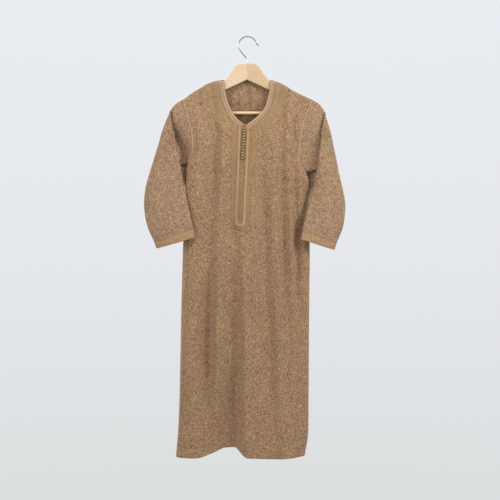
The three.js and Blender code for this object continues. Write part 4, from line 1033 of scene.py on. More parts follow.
def sleeve_surface(lr, rows_fine):
    rings = sleeve_frame(lr)
    mid = rings["front"][:, HALF // 2]
    step = np.linalg.norm(np.diff(rings["front"][:, ::8], axis=0), axis=2).mean(1)
    a = np.concatenate([[0], np.cumsum(step)])
    f, b = cubic(a, rings["front"]), cubic(a, rings["back"])
    a_end = a[-2]
    at = spread(rows_fine, (0.0, 0.03, 0.4), (0.14, 0.08, 0.25)) * a_end
    F_, B_ = f(at), b(at)
    ring = np.concatenate([F_, B_[:, -2:0:-1]], 1)
    cuff_at = a_end + (a[-1] - a_end) * (CUFF_SEAM / (a[-1] - a_end) + (1 - CUFF_SEAM / (a[-1] - a_end)) * np.linspace(0, 1, 15))
    cuff = np.concatenate([f(cuff_at), b(cuff_at)[:, -2:0:-1]], 1)
    t = np.concatenate([T_EVEN, T_EVEN[-2:0:-1]])
    side = np.concatenate([np.ones(HALF + 1), -np.ones(HALF - 1)])
    return ring, cuff, at, cuff_at, t, side


def sleeve_creases(lr, at, t, side, ring):
    """How far the sleeve's own creases go in."""
    width = np.linalg.norm(ring[:, 0] - ring[:, HALF], axis=1)
    A = np.broadcast_to(at[:, None], ring.shape[:2])
    W = t[None] * width[:, None]
    total = np.zeros(ring.shape[:2])
    k = np.linspace(0, 1, 13)
    for c in SLEEVE_CREASES[lr]:
        wm = float(np.interp((c["a0"] + c["a1"]) / 2, at, width))
        x0, x1 = c["t0"] * wm, c["t1"] * wm
        dx, da = x1 - x0, c["a1"] - c["a0"]
        length = math.hypot(dx, da)
        b = c["bow"] * 4 * k * (1 - k)
        pa, pw = c["a0"] + da * k - dx / length * b, x0 + dx * k + da / length * b
        best = np.full(total.shape, 1e9)
        along = np.zeros(total.shape)
        Wn = t[None] * wm + 0 * W
        for i in range(12):
            ea, ew = pa[i + 1] - pa[i], pw[i + 1] - pw[i]
            q = np.clip(((A - pa[i]) * ea + (Wn - pw[i]) * ew) / (ea * ea + ew * ew), 0, 1)
            d = np.hypot(A - pa[i] - q * ea, Wn - pw[i] - q * ew)
            closer = d < best
            best = np.where(closer, d, best)
            along = np.where(closer, (i + q) / 12, along)
        u = np.clip(best / c["w"], 0, 1)
        on = (side[None] == c["side"]) | (t[None] < 0.02) | (t[None] > 0.98)
        total += np.where(on, c["d"] * smooth(0, 0.3, along) * smooth(1, 0.62, along) * (0.5 + 0.5 * np.cos(np.pi * u)), 0)
    return total


def out_tube(P, F):
    c = P.mean(0)
    n = normals(P, F)
    return F if ((P - c) * n).sum() > 0 else F[:, ::-1].copy()


SLEEVE = {}
for lr in ("left", "right"):
    ring, cuff, at, cuff_at, t, side = sleeve_surface(lr, 150)
    rows, cols = ring.shape[:2]
    F = out_tube(ring.reshape(-1, 3), grid_faces(rows, cols, wrap=True))
    n = normals(ring.reshape(-1, 3), F).reshape(rows, cols, 3)
    go_in = sleeve_creases(lr, at, t, side, ring)
    edge_soft = smooth(0, 14, at)[:, None] * smooth(at[-1], at[-1] - 22, at)[:, None]
    mask = edge_soft * np.clip(np.sin(np.pi * np.clip(t, 0, 1)) * 3, 0, 1)[None]
    wave = 0.5 * ripple(t[None] * 150, at[:, None] * 1.0, 1.1 if lr == "left" else 4.2)
    ring = ring - n * ((go_in + wave) * mask)[..., None]
    P = ring.reshape(-1, 3)
    n = normals(P, F)
    Q = P - n * CLOTH
    Qr = Q.reshape(rows, cols, 3)
    Qr[0] = ring[0] + (Qr[1] - ring[1])
    SP, SF = closed(P, Q, F, np.where(np.arange(len(P)) < cols, 0.0, 0.0))
    SLEEVE[lr] = dict(ring=ring, n=n.reshape(rows, cols, 3), at=at, t=t, side=side)
    a_uv = np.broadcast_to(at[:, None], (rows, cols)).reshape(-1)
    w_uv = (t * side)[None].repeat(rows, 0).reshape(-1) * 150
    # the sleeve takes the lighter, greyer copy of the cloth: painted light
    piece(f"cloth_sleeve_{lr}", SP, SF, SLEEVE_LIT_MAT, nodes=[f"sleeve_{lr}"], sharp=50)

    rows, cols = cuff.shape[:2]
    F = out_tube(cuff.reshape(-1, 3), grid_faces(rows, cols, wrap=True))
    n = normals(cuff.reshape(-1, 3), F).reshape(rows, cols, 3)
    k = np.linspace(0, 1, rows)
    puff = 0.7 * np.sin(np.pi * np.clip(k, 0, 1)) ** 0.35 - 0.25 * np.exp(-((k - 0.16) / 0.05) ** 2) - 0.25 * np.exp(-((k - 0.84) / 0.05) ** 2)
    cuff = cuff + n * puff[:, None, None]
    P = cuff.reshape(-1, 3)
    n = normals(P, F)
    Q = P - n * CLOTH
    SP, SF = closed(P, Q, F, 0.25)
    SLEEVE[lr].update(cuff=cuff, cuff_n=n.reshape(rows, cols, 3))
    piece(f"cloth_cuff_{lr}", SP, SF, CUFF_MAT, nodes=[f"cuff_{lr}"], sharp=50)


# ---------------------------------------------------------------- neck braid and band
def offset(line, w):
    """A line moved to its left by w, along its points' normals."""
    t = unit(np.gradient(line, axis=0))
    return line + np.stack([t[:, 1], -t[:, 0]], 1) * -w


def neck_offset(lr, w, n=160):
    base = walk(neck_inner(lr), 1.6)
    # carried up past the shoulder line, so that every offset reaches it
    up = base[0] + unit(base[0] - base[4]) * np.linspace(30, 1, 20)[:, None]
    base = np.vstack([up, base])
    t = unit(np.gradient(base, axis=0))
    for _ in range(6):
        t[1:-1] = unit((t[:-2] + t[1:-1] * 2 + t[2:]) / 4)
    nrm = np.stack([t[:, 1], -t[:, 0]], 1)
    if (nrm[:, 0] * (-1 if lr == "left" else 1)).sum() < 0:
        nrm = -nrm
    p = base + nrm * w
    # go on straight past the end, to meet the opening or the placket
    tail = p[-1] + unit(p[-1] - p[-4]) * np.linspace(1, 60, 40)[:, None]
    return np.vstack([p, tail])


def cut_line(p, lr, stop, n):
    """The part of a line below the shoulder line and outside x = stop(z), resampled."""
    sgn = -1 if lr == "left" else 1
    below = p[:, 1] < shoulder_z(p[:, 0])
    first = int(np.argmax(below))
    a, b = p[max(first - 1, 0)], p[first]
    for _ in range(30):
        m = (a + b) / 2
        a, b = (m, b) if m[1] > shoulder_z(m[0]) else (a, m)
    q = np.vstack([[b], p[first:]])
    outside = sgn * (q[:, 0] - stop(q[:, 1])) > 0
    last = len(q) - 1 if outside.all() else int(np.argmax(~outside))
    a, b = q[last - 1], q[last]
    for _ in range(30):
        m = (a + b) / 2
        a, b = (m, b) if sgn * (m[0] - float(stop(m[1]))) > 0 else (a, m)
    q = np.vstack([q[:last], [a]])
    d = np.concatenate([[0], np.cumsum(np.linalg.norm(np.diff(q, axis=0), axis=1))])
    at = np.linspace(0, d[-1], n + 1)
    return np.stack([np.interp(at, d, q[:, 0]), np.interp(at, d, q[:, 1])], 1)


pk = {k: curve(PLACKET, "z", k) for k in ("mid", "outL", "outR", "inL", "inR")}


def placket_edge(lr, z, grow=0.0, kind="out"):
    z = np.asarray(z, float)
    if lr == "left":
        return pk["mid"](z) - pk[kind + "L"](z) - grow
    return pk["mid"](z) + pk[kind + "R"](z) + grow


def slab(side, xz, top, bottom, y_sign):
    """A strip that lies on a panel: xz is a grid of places, top its height at each."""
    P = on_panel(side, xz[..., 0], xz[..., 1], top)
    Q = on_panel(side, xz[..., 0], xz[..., 1], np.full(xz.shape[:2], bottom))
    rows, cols = xz.shape[:2]
    F = grid_faces(rows, cols)
    P, Q = P.reshape(-1, 3), Q.reshape(-1, 3)
    Ff = out_facing(P, F, y_sign)
    return closed(P, Q, Ff, 0.12)


def profile(w, width, height, edge=1.4, ridges=()):
    """Height across a strip: rounded edges, and ridges (place, half-width, height)."""
    e = np.minimum(w, width - w)
    h = height * np.sqrt(np.clip(1 - (1 - np.clip(e / edge, 0, 1)) ** 2, 0, 1)) * 0.6 + height * 0.4
    for at, half, up in ridges:
        u = np.clip(np.abs(w - at) / half, 0, 1)
        h = h + up * (0.5 + 0.5 * np.cos(np.pi * u))
    return h


def neck_strip(name, lr, w0, w1, stop, base, height, ridges, mat, nodes, across, n):
    w = w0 + (w1 - w0) * spread(across, (0.0, 0.06, 0.35), (1.0, 0.06, 0.35))
    lines = [cut_line(neck_offset(lr, k), lr, stop, n) for k in w]
    xz = np.stack(lines, 1)
    h = profile(w - w0, w1 - w0, height, ridges=ridges)
    top = base + np.broadcast_to(h[None], xz.shape[:2])
    P, F = slab("front", xz, top, base - 0.15, -1)
    return piece(name, P, F, mat, nodes=nodes, sharp=60)


BRAID_RIDGES = ((2.2, 2.0, 0.55), (5.6, 1.8, -0.5), (8.8, 2.4, 0.6), (11.8, 1.6, -0.5), (14.0, 1.8, 0.7))
BAND_RIDGES = ((3.2, 1.8, -0.5), (7.6, 1.8, -0.5), (12.0, 1.8, -0.45), (30.0, 1.8, -0.4), (34.4, 1.8, -0.45), (38.8, 1.8, -0.5))
for lr in ("left", "right"):
    sgn = -1 if lr == "left" else 1
    neck_strip(f"trim_neck_braid_{lr}", lr, 0.2, NECK_BRAID_W, lambda z, s=sgn: slit_x(z) + s * 0.5, LIFT, BRAID,
               BRAID_RIDGES, BRAID_MAT, [f"neck_braid_{lr}"], 22, 110)
    neck_strip(f"trim_neck_band_{lr}", lr, NECK_BRAID_W + 0.9, NECK_BAND_W, lambda z, k=lr: placket_edge(k, z, GAP), LIFT, BAND * 0.85,
               BAND_RIDGES, BAND_MAT, [f"neck_band_{lr}"], 40, 92)


cords = []
for lr in ("left", "right"):
    sgn = -1 if lr == "left" else 1
    line = cut_line(neck_offset(lr, 4.6), lr, lambda z, s=sgn: slit_x(z) + s * 0.9, 120)
    c, _ = panel_line("front", line, LIFT + BRAID + 0.5)
    cords.append(tube(c, 1.05, 8))
CP, CF = join(cords)
neck_cord = piece("neck_cord", CP, CF, CORD_MAT)


def back_strip(name, w0, w1, grow0, grow1, height, ridges, mat, nodes, across, n):
    """Round the back of the neck: a U that hangs from the shoulder line."""
    def u_line(w, grow):
        side = BACK_NECK["side"] + w
        low = BACK_NECK["midZ"] - w - grow
        r = max(2.0, w * 0.9)
        a = np.linspace(0, np.pi / 2, 24)
        left = np.stack([-side + r * (1 - np.cos(a)), low + r * (1 - np.sin(a))], 1)
        p = np.vstack([[-side, -90], [-side, low + r + 0.01], left, (left * [-1, 1])[::-1], [side, low + r + 0.01], [side, -90]])
        p = walk(p, 1.0)
        keep = p[:, 1] < back_top(p[:, 0]) - 0.05
        p = p[keep]
        return p
    w = w0 + (w1 - w0) * spread(across, (0.0, 0.06, 0.35), (1.0, 0.06, 0.35))
    lines = []
    for k in w:
        p = u_line(k, lerp(grow0, grow1, (k - w0) / (w1 - w0)))
        d = np.concatenate([[0], np.cumsum(np.linalg.norm(np.diff(p, axis=0), axis=1))])
        at = np.linspace(0, d[-1], n + 1)
        lines.append(np.stack([np.interp(at, d, p[:, 0]), np.interp(at, d, p[:, 1])], 1))
    xz = np.stack(lines, 1)
    h = profile(w - w0, w1 - w0, height, ridges=ridges)
    top = LIFT + np.broadcast_to(h[None], xz.shape[:2])
    P, F = slab("back", xz, top, LIFT - 0.15, 1)
    return piece(name, P, F, mat, nodes=nodes, sharp=60)


back_strip("trim_neck_braid_back", 0.4, NECK_BRAID_W, 3.6, 4.0, BRAID, BRAID_RIDGES, BRAID_MAT, ["neck_braid_back"], 22, 110)
back_strip("trim_neck_band_back", NECK_BRAID_W + GAP + 0.2, NECK_BAND_W, 4.0, 0.0, BAND * 0.85, BAND_RIDGES, BAND_MAT, ["neck_band_back"], 40, 120)


# ---------------------------------------------------------------- placket
def placket_half(lr, across, n):
    """Places on one half of the placket: rows run from its outer edge to the middle line."""
    sgn = -1 if lr == "left" else 1
    kl = "outL" if lr == "left" else "outR"
    end = PLACKET_END["out"]
    start = end + float(pk[kl](-560.0)) * 0.95
    w = float(pk[kl](start))
    braid = neck_offset(lr, NECK_BRAID_W + GAP)
    order = np.argsort(braid[:, 0])
    # where the braid's outer edge crosses the placket's sides and the opening
    cut = cut_line(braid, lr, lambda z: slit_x(z) + sgn * 0.5, 400)
    inside = sgn * (cut[:, 0] - placket_edge(lr, cut[:, 1])) < 0
    top_line = cut[inside]
    O0, I0 = top_line[0], top_line[-1]
    zs = np.linspace(O0[1], start, 60)
    side = np.stack([placket_edge(lr, zs), zs], 1)
    a = np.linspace(0, np.pi / 2, 20)[1:]
    arc = np.stack([pk["mid"](start) + sgn * w * np.cos(a), lerp(start, end, np.sin(a))], 1)
    outer = np.vstack([side, arc])
    zi = np.linspace(I0[1], start - 2, 80)
    mid = np.interp(-zi, [300, 384, 420, 700], [1, 1, 0, 0])
    xi = np.where(zi > -384, slit_x(zi) + sgn * 0.5, slit_x(zi))
    inner = np.stack([xi, zi], 1)
    inner = np.vstack([inner, [[pk["mid"](start), start - 6.0]]])

    def even(p, share):
        d = np.concatenate([[0], np.cumsum(np.linalg.norm(np.diff(p, axis=0), axis=1))])
        return np.stack([np.interp(share * d[-1], d, p[:, 0]), np.interp(share * d[-1], d, p[:, 1])], 1)
    v = spread(n, (1.0, 0.02, 0.5))
    O = even(outer, v)
    I = even(inner, v)
    g = spread(across, (0.0, 0.08, 0.4))
    T = even(top_line, g)
    G, V = g[None, :, None], v[:, None, None]
    P = (1 - G) * O[:, None] + G * I[:, None]
    ct = (1 - G) * O[0] + G * I[0]
    P = P + (1 - V) ** 3 * (T[None] - ct)
    return P


def placket():
    parts = []
    for lr in ("left", "right"):
        xz = placket_half(lr, 30, 120)
        sgn = -1 if lr == "left" else 1
        # distance from the outer edge
        w = np.linalg.norm(xz - xz[:, :1], axis=2)
        h = 0.93 * np.sqrt(np.clip(1 - (1 - np.clip(w / 1.2, 0, 1)) ** 2, 0, 1)) * 0.6 + 0.93 * 0.4
        for at in (3.0, 7.2, 11.4):
            h = h - 0.30 * np.clip(1 - np.abs(w - at) / 1.2, 0, 1)
        P = on_panel("front", xz[..., 0], xz[..., 1], LIFT + h)
        Q = on_panel("front", xz[..., 0], xz[..., 1], np.full(xz.shape[:2], LIFT - 0.15))
        parts.append((P.reshape(-1, 3), Q.reshape(-1, 3), grid_faces(*xz.shape[:2])))
    n = len(parts[0][0])
    P = np.concatenate([parts[0][0], parts[1][0]])
    Q = np.concatenate([parts[0][1], parts[1][1]])
    F = np.concatenate([out_facing(parts[0][0], parts[0][2], -1), out_facing(parts[1][0], parts[1][2], -1) + n])
    key = np.round(P / 0.02).astype(np.int64)
    _, first, back_ = np.unique(key, axis=0, return_index=True, return_inverse=True)
    back_ = back_.reshape(-1)
    return closed(P[first], Q[first], back_[F], 0.1)


SP, SF = placket()
piece("placket_band", SP, SF, PLACKET_MAT, nodes=["placket"], sharp=60)


def loop_line(w=0.0, step=1.6):
    """The middle line of the braid on the placket: down the left, round the end, up the right."""
    end = PLACKET_END["in"] - w
    tops = {}
    for lr in ("left", "right"):
        edge = cut_line(neck_offset(lr, NECK_BRAID_W + GAP + 0.6), lr, lambda z, k=lr: placket_edge(k, z, w, "in"), 200)
        tops[lr] = edge[-1][1]
    startL = end + float(pk["inL"](-560.0)) * 0.95
    startR = startL
    zl = np.linspace(tops["left"], startL, 80)
    zr = np.linspace(startR, tops["right"], 80)
    left = np.stack([placket_edge("left", zl, w, "in"), zl], 1)
    right = np.stack([placket_edge("right", zr, w, "in"), zr], 1)
    a = np.linspace(0, np.pi, 34)[1:-1]
    c = np.cos(a)
    mid = float(pk["mid"](startL))
    wl, wr = float(pk["inL"](startL)) + w, float(pk["inR"](startL)) + w
    x = mid - np.where(c > 0, wl, wr) * c
    arc = np.stack([x, lerp(startL, end, np.sin(a))], 1)
    return walk(np.vstack([left, arc, right]), step)


def loop_braid():
    across = np.linspace(-3.9, 3.9, 17)
    n = 340
    lines = []
    for w in across:
        p = loop_line(w)
        d = np.concatenate([[0], np.cumsum(np.linalg.norm(np.diff(p, axis=0), axis=1))])
        at = np.linspace(0, d[-1], n + 1)
        lines.append(np.stack([np.interp(at, d, p[:, 0]), np.interp(at, d, p[:, 1])], 1))
    xz = np.stack(lines, 1)
    h = profile(across + 3.9, 7.8, BRAID, edge=1.2, ridges=((1.7, 1.6, 0.35), (3.9, 1.2, -0.4), (6.1, 1.6, 0.35)))
    base = LIFT + BAND + 0.1
    return slab("front", xz, base + np.broadcast_to(h[None], xz.shape[:2]), base - 0.1, -1)


SP, SF = loop_braid()
piece("trim_placket_braid", SP, SF, LOOP_BRAID_MAT, nodes=["placket_braid"], sharp=60)


# ---------------------------------------------------------------- buttons
def knot(radius):
    """A small knotted ball: cords that cross over each other round a core."""
    rows, cols = 22, 32
    th = np.linspace(0.02, np.pi - 0.02, rows)[:, None]
    ph = (np.arange(cols) * 2 * np.pi / cols)[None]
    a = np.sin(3 * ph + 4.0 * th)
    b = np.sin(3 * ph - 4.0 * th + 1.0)
    r = radius * (0.88 + 0.12 * np.maximum(np.abs(a), np.abs(b)) ** 1.5)
    P = np.stack([r * np.sin(th) * np.cos(ph), r * np.sin(th) * np.sin(ph), r * np.cos(th) * np.ones_like(ph)], 2)
    F = grid_faces(rows, cols, wrap=True).tolist()
    P = P.reshape(-1, 3)
    F += [[i for i in range(cols)][::-1], [(rows - 1) * cols + i for i in range(cols)]]
    if volume(P, F) < 0:
        F = [f[::-1] for f in F]
    return P, F


KP, KF = knot(BUTTON_D / 2)
loops = []
for i in range(BUTTONS):
    z = BUTTON_FIRST[1] - i * BUTTON_PITCH
    x = lerp(BUTTON_FIRST[0], BUTTON_LAST_X, i / (BUTTONS - 1))
    y = float(panel_y("front", np.array([x]), np.array([float(z)]))[0]) - (LIFT + BAND + LIFT + BUTTON_D / 2)
    turn = i * 0.9
    R = np.array([[math.cos(turn), 0, math.sin(turn)], [0, 1, 0], [-math.sin(turn), 0, math.cos(turn)]])
    name = f"button_{i + 1:02d}"
    piece(f"knot_{name}", (KP @ R.T) * [1.0, 1.0, 0.72] + [x, y, z], KF, BUTTON_MAT, nodes=[name])
    # the cord loop that closes over the button, and the shank on the other side
    front_y = y + BUTTON_D / 2 - 0.9
    a = np.linspace(-0.2, np.pi + 0.2, 15)
    loops.append(tube(np.stack([x + 0.7 + 3.3 * np.sin(a) * 1.02, front_y - 0.7 * np.sin(a), z + 3.3 * np.cos(a)], 1), 0.8, 7))
    loops.append(tube(np.stack([x - 0.7 - 3.3 * np.sin(a) * 1.02, front_y - 0.7 * np.sin(a), z + 3.3 * np.cos(a)], 1), 0.8, 7))
LP, LF = join(loops)
# the loops' dark brown is partly painted shade beside the buttons
button_loops = piece("button_loops", LP, LF, LOOP_CORD_AND_SHADE_MAT)


# ---------------------------------------------------------------- stitches and seams
def add_rows(name, rows, mat):
    parts = [p for row in rows for p in row]
    P, F = join(parts)
    return piece(name, P, F, mat)


rows = []
for lr in ("left", "right"):
    for w in (3.2, 7.6, 12.0, 30.0, 34.4, 38.8):
        line = cut_line(neck_offset(lr, NECK_BRAID_W + GAP + w), lr, lambda z, k=lr: placket_edge(k, z, GAP), 200)
        c, n = panel_line("front", line, LIFT + BAND * 0.6)
        rows.append(stitch_row(c, n, 3.1, 2.3, 0.6 if w > 38 else 0.44))
for w in (3.0, 7.2, 11.4):
    r = 0.6 if w < 4 else 0.44
    line = np.vstack([np.stack([placket_edge("left", z, -w), z], 1) for z in [np.linspace(-262 - w, -555, 120)]])
    c, n = panel_line("front", line, LIFT + BAND * 0.6)
    rows.append(stitch_row(c, n, 3.1, 2.3, r))
    line = np.stack([placket_edge("right", np.linspace(-262 - w, -555, 120), -w), np.linspace(-262 - w, -555, 120)], 1)
    c, n = panel_line("front", line, LIFT + BAND * 0.6)
    rows.append(stitch_row(c, n, 3.1, 2.3, r))
band_stitches = add_rows("band_stitches", rows, THREAD_MAT)

# raised piping round each armhole, with a row of stitches on the body side
pipes, rows = [], []
for lr in ("left", "right"):
    out = -1 if lr == "left" else 1
    for side, sgn in (("front", -1), ("back", 1)):
        z = lerp(TIP[lr] - 4, ARMPIT[lr] + 5, np.linspace(0, 1, 90))
        x = edge_x[lr](z)
        y = half_depth(side, np.full_like(z, float(out)), z, x) * sgn
        c = np.stack([x - out * 0.4, y + sgn * 0.5, z], 1)
        pipes.append(tube(c, 1.6, 9))
        for inset in (4.6,):
            xi = edge_x[lr](z) - out * inset
            cc, nn = panel_line(side, np.stack([xi, z], 1)[3:-6], 0.25)
            rows.append(stitch_row(cc, nn, 3.4, 2.4, 0.42))
PP, PF = join(pipes)
armhole_piping = piece("armhole_piping", PP, PF, PIPING_MAT)
seam_stitches = add_rows("armhole_stitches", rows, THREAD_MAT)

# cuff edges: two rows of stitches
rows = []
for lr in ("left", "right"):
    cuff, n = SLEEVE[lr]["cuff"], SLEEVE[lr]["cuff_n"]
    for r in (2, 12):
        loop = np.vstack([cuff[r], cuff[r][:1]])
        nn = np.vstack([n[r], n[r][:1]])
        rows.append(stitch_row(loop + nn * 0.15, nn, 3.2, 2.3, 0.36))
cuff_stitches = add_rows("cuff_stitches", rows, THREAD_MAT)

# hem and side slits: stitches in the cloth's own colour
rows = []
for side in ("front", "back"):
    s = np.linspace(-0.972, 0.972, 240)
    z = hem_z(s) + 22
    c, n = panel_line(side, np.stack([x_at(s, z), z], 1), 0.1)
    rows.append(stitch_row(c, n, 6.2, 3.0, 0.34))
    for e in (-0.975, 0.975):
        z = np.linspace(SLIT_TOP, HEM_Z + 24, 60)
        c, n = panel_line(side, np.stack([x_at(np.full_like(z, e), z), z], 1), 0.1)
        rows.append(stitch_row(c, n, 6.2, 3.0, 0.34))
hem_stitches = add_rows("hem_stitches", rows, DARK_THREAD_MAT)


# ---------------------------------------------------------------- hanger
def wood_outline():
    xs = np.array([76.5, 84, 92, 100, 108, 116, 125, 133, 142, 151, 160, 169, 178, 186, 192, 198, 203])
    hump = np.array([(-66, -132.5), (-60, -125), (-51, -113), (-42, -99), (-34, -89), (-24, -83.5), (-12, -81.5), (0, -81.2)], float)
    f = cubic([0, 9.8, 24.8, 41.5, 54.8, 66.2, 78.3, 90.3], hump)
    hump = f(np.linspace(0, 90.3, 40))
    left = np.stack([-xs[::-1], shoulder_z(-xs[::-1]) - ARM_DROP], 1)
    right = np.stack([xs, shoulder_z(xs) - ARM_DROP], 1)

    def end(sgn):
        e = np.array([(209, 0), (211, -10), (210, -25), (205, -33), (198, -35), (190, -31), (184, -20)], float)
        k = cubic([0, 1, 2, 3, 4, 5, 6], e)(np.linspace(0, 6, 25))
        return np.stack([sgn * k[:, 0], float(shoulder_z(sgn * 203.0)) - ARM_DROP - 4 + k[:, 1]], 1)
    lx = np.array([168, 150, 120, 90, 66.5, 40, 20, 10.0])
    low = np.stack([lx, -130.8 - ARM_SLOPE * lx], 1)
    return np.vstack([left, hump[:-1], [[0, -81.2]], (hump[:-1] * [-1, 1])[::-1], right,
                      end(1), low, [[0, -130.8]], (low * [-1, 1])[::-1], end(-1)[::-1]])


def arm(name, lr, mat):
    import bmesh
    o = wood_outline()
    sgn = -1 if lr == "left" else 1
    pts = [p for p in o if sgn * p[0] > 0.4]
    top, bottom = (sgn * 0.15, -81.2), (sgn * 0.15, -130.8)
    if lr == "left":
        i = int(np.argmax([p[0] for p in pts]))
        # outline order: top-left to hump, then bottom back to the end
        split = max(k for k, p in enumerate(pts) if p[1] > -128 and p[0] > -70)
        pts = pts[: split + 1] + [np.array(top), np.array(bottom)] + pts[split + 1:]
    else:
        pts = [np.array(top)] + pts + [np.array(bottom)]
    bm = bmesh.new()
    half = WOOD / 2
    vs = [bm.verts.new((p[0] * MM, -half * MM, p[1] * MM)) for p in pts]
    face = bm.faces.new(vs)
    ret = bmesh.ops.extrude_face_region(bm, geom=[face])
    up = [v for v in ret["geom"] if isinstance(v, bmesh.types.BMVert)]
    for v in up:
        v.co.y = half * MM
    bmesh.ops.recalc_face_normals(bm, faces=bm.faces)
    edges = [e for e in bm.edges if abs(abs(e.verts[0].co.y) - half * MM) < 1e-7 and abs(e.verts[0].co.y - e.verts[1].co.y) < 1e-7
             and not (abs(e.verts[0].co.x) < 0.0003 and abs(e.verts[1].co.x) < 0.0003)]
    bmesh.ops.bevel(bm, geom=edges, offset=3.2 * MM, segments=5, profile=0.6, affect="EDGES", clamp_overlap=True)
    for f in bm.faces:
        f.smooth = True
    me = bpy.data.meshes.new(name)
    bm.to_mesh(me)
    bm.free()
    me.set_sharp_from_angle(angle=math.radians(40))
    ob = bpy.data.objects.new(name, me)
    bpy.context.scene.collection.objects.link(ob)
    me.materials.append(mat)
    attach(ob, "root")
    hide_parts(f"hanger_arm_{lr}")
    PIECES[name] = ob
    return ob


arm("wood_arm_left", "left", WOOD_L_MAT)
arm("wood_arm_right", "right", WOOD_R_MAT)

xs = np.linspace(-203, 203, 60)
P, F = tube(np.stack([xs, 0 * xs, 0 * xs + BAR_Z], 1), BAR_D / 2, 28, up=(0, 0, 1.0))
piece("wood_bar", P, F, BAR_MAT, nodes=["hanger_bar"], sharp=40)


def hook_path():
    c = (1.5, -25.6)
    pts = [(35.5, -26.5), (34.2, -24.2), (32.0, -22.5)]
    for a in range(12, 219, 6):
        r = math.radians(a)
        pts.append((c[0] + HOOK_R * math.cos(r), c[1] + HOOK_R * math.sin(r)))
    pts += [(-12.5, -51.5), (-4.2, -61.5), (-0.6, -68), (0, -76), (0, -88), (0, -104)]
    p = np.array(pts, float)
    d = np.concatenate([[0], np.cumsum(np.linalg.norm(np.diff(p, axis=0), axis=1) ** 0.5)])
    f = cubic(d, p)
    q = f(np.linspace(0, d[-1], 240))
    for _ in range(4):
        q[1:-1] = (q[:-2] + 2 * q[1:-1] + q[2:]) / 4
    return np.stack([q[:, 0], 0 * q[:, 0], q[:, 1]], 1)


hp = hook_path()
P, F = tube(hp, WIRE_D / 2, 20)
piece("wire_hook", P, F, STEEL_MAT, nodes=["hanger_hook"], sharp=50)


# ---------------------------------------------------------------- surroundings
def floor():
    me = bpy.data.meshes.new("floor")
    r = 9.0
    me.from_pydata([(-r, -r, -1.85), (r, -r, -1.85), (r, r, -1.85), (-r, r, -1.85)], [], [(0, 1, 2, 3)])
    ob = bpy.data.objects.new("floor", me)
    bpy.context.scene.collection.objects.link(ob)
    m = Nodes("floor_pale")
    coord = m.t.nodes.new("ShaderNodeTexCoord")
    length = m.t.nodes.new("ShaderNodeVectorMath")
    length.operation = "LENGTH"
    flat = m.coords(scale=(1, 1, 0))
    m.link(flat, length.inputs[0])
    fade = m.ramp(m.math("DIVIDE", length.outputs["Value"], 4.0), (0.14, 0), (0.36, 1))
    clear = m.t.nodes.new("ShaderNodeBsdfTransparent")
    mixer = m.t.nodes.new("ShaderNodeMixShader")
    m.link(fade, mixer.inputs[0])
    m.link(m.bsdf.outputs[0], mixer.inputs[1])
    m.link(clear.outputs[0], mixer.inputs[2])
    m.link(mixer.outputs[0], m.out.inputs[0])
    m.bsdf.inputs["Base Color"].default_value = (0.5, 0.51, 0.52, 1)
    m.bsdf.inputs["Roughness"].default_value = 0.8
    me.materials.append(m.mat)
    return ob


floor()

world = bpy.data.worlds.new("studio")
bpy.context.scene.world = world
world.use_nodes = True
wt = world.node_tree
wt.nodes.clear()
w_out = wt.nodes.new("ShaderNodeOutputWorld")
w_bg = wt.nodes.new("ShaderNodeBackground")
w_co = wt.nodes.new("ShaderNodeTexCoord")
w_sep = wt.nodes.new("ShaderNodeSeparateXYZ")
w_map = wt.nodes.new("ShaderNodeMapRange")
w_ramp = wt.nodes.new("ShaderNodeValToRGB")
w_map.inputs["From Min"].default_value = -0.30
w_map.inputs["From Max"].default_value = 0.30
e = w_ramp.color_ramp.elements
e[0].position, e[0].color = 0.0, srgb(218, 221, 221)
e[1].position, e[1].color = 1.0, srgb(235, 238, 241)
mid_stop = e.new(0.5)
mid_stop.color = srgb(230, 232, 236)
wt.links.new(w_co.outputs["Generated"], w_sep.inputs[0])
wt.links.new(w_sep.outputs["Z"], w_map.inputs["Value"])
wt.links.new(w_map.outputs[0], w_ramp.inputs[0])
w_up = wt.nodes.new("ShaderNodeMapRange")
w_up.interpolation_type = "SMOOTHSTEP"
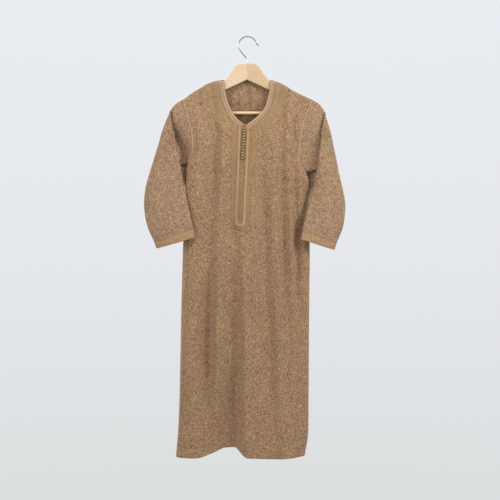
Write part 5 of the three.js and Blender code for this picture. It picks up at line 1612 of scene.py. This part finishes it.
w_up.inputs["From Min"].default_value = 0.30
w_up.inputs["From Max"].default_value = 0.62
w_up.inputs["To Min"].default_value = 1.0
w_up.inputs["To Max"].default_value = 0.22
wt.links.new(w_sep.outputs["Z"], w_up.inputs["Value"])
wt.links.new(w_up.outputs[0], w_bg.inputs[1])
wt.links.new(w_ramp.outputs[0], w_bg.inputs[0])
wt.links.new(w_bg.outputs[0], w_out.inputs[0])


def area(name, at, to, size, power, colour=(1, 1, 1)):
    data = bpy.data.lights.new(name, "AREA")
    data.shape = "RECTANGLE"
    data.size, data.size_y = size
    data.energy = power
    data.color = colour
    ob = bpy.data.objects.new(name, data)
    bpy.context.scene.collection.objects.link(ob)
    ob.location = at
    ob.rotation_mode = "QUATERNION"
    ob.rotation_quaternion = (Vector(to) - Vector(at)).to_track_quat("-Z", "Y")
    return ob


area("left_soft", (-2.5, -1.9, 0.7), (0, 0, -0.5), (1.3, 1.6), 70, (1.0, 0.99, 0.97))
area("right_soft", (2.4, -1.7, 0.8), (0, 0, -0.5), (1.1, 1.4), 95, (1.0, 0.99, 0.975))
area("top_soft", (0.0, -1.2, 1.5), (0, 0, -0.4), (1.2, 0.9), 24, (1.0, 0.995, 0.985))
area("back_left", (-2.4, 2.0, 0.7), (0, 0, -0.5), (1.3, 1.6), 92, (1.0, 0.995, 0.985))
area("back_right", (2.4, 2.0, 0.6), (0, 0, -0.5), (1.3, 1.6), 44, (1.0, 0.995, 0.985))

scene = bpy.context.scene
scene.view_settings.view_transform = "Standard"
scene.view_settings.look = "None"
scene.view_settings.exposure = 0.0
scene.view_settings.gamma = 1.0


# ---------------------------------------------------------------- what each sheet was cut to
def half_area(ob):
    me = ob.data
    return sum(p.area for p in me.polygons) / 2


AREAS = {n: half_area(o) for n, o in PIECES.items() if n.startswith(("cloth_", "trim_", "placket"))}
print("half areas", {k: round(v, 4) for k, v in AREAS.items()})
for lr in ("left", "right"):
    w, l, a = (0.40, 0.34, 0.097) if lr == "left" else (0.38, 0.33, 0.088)
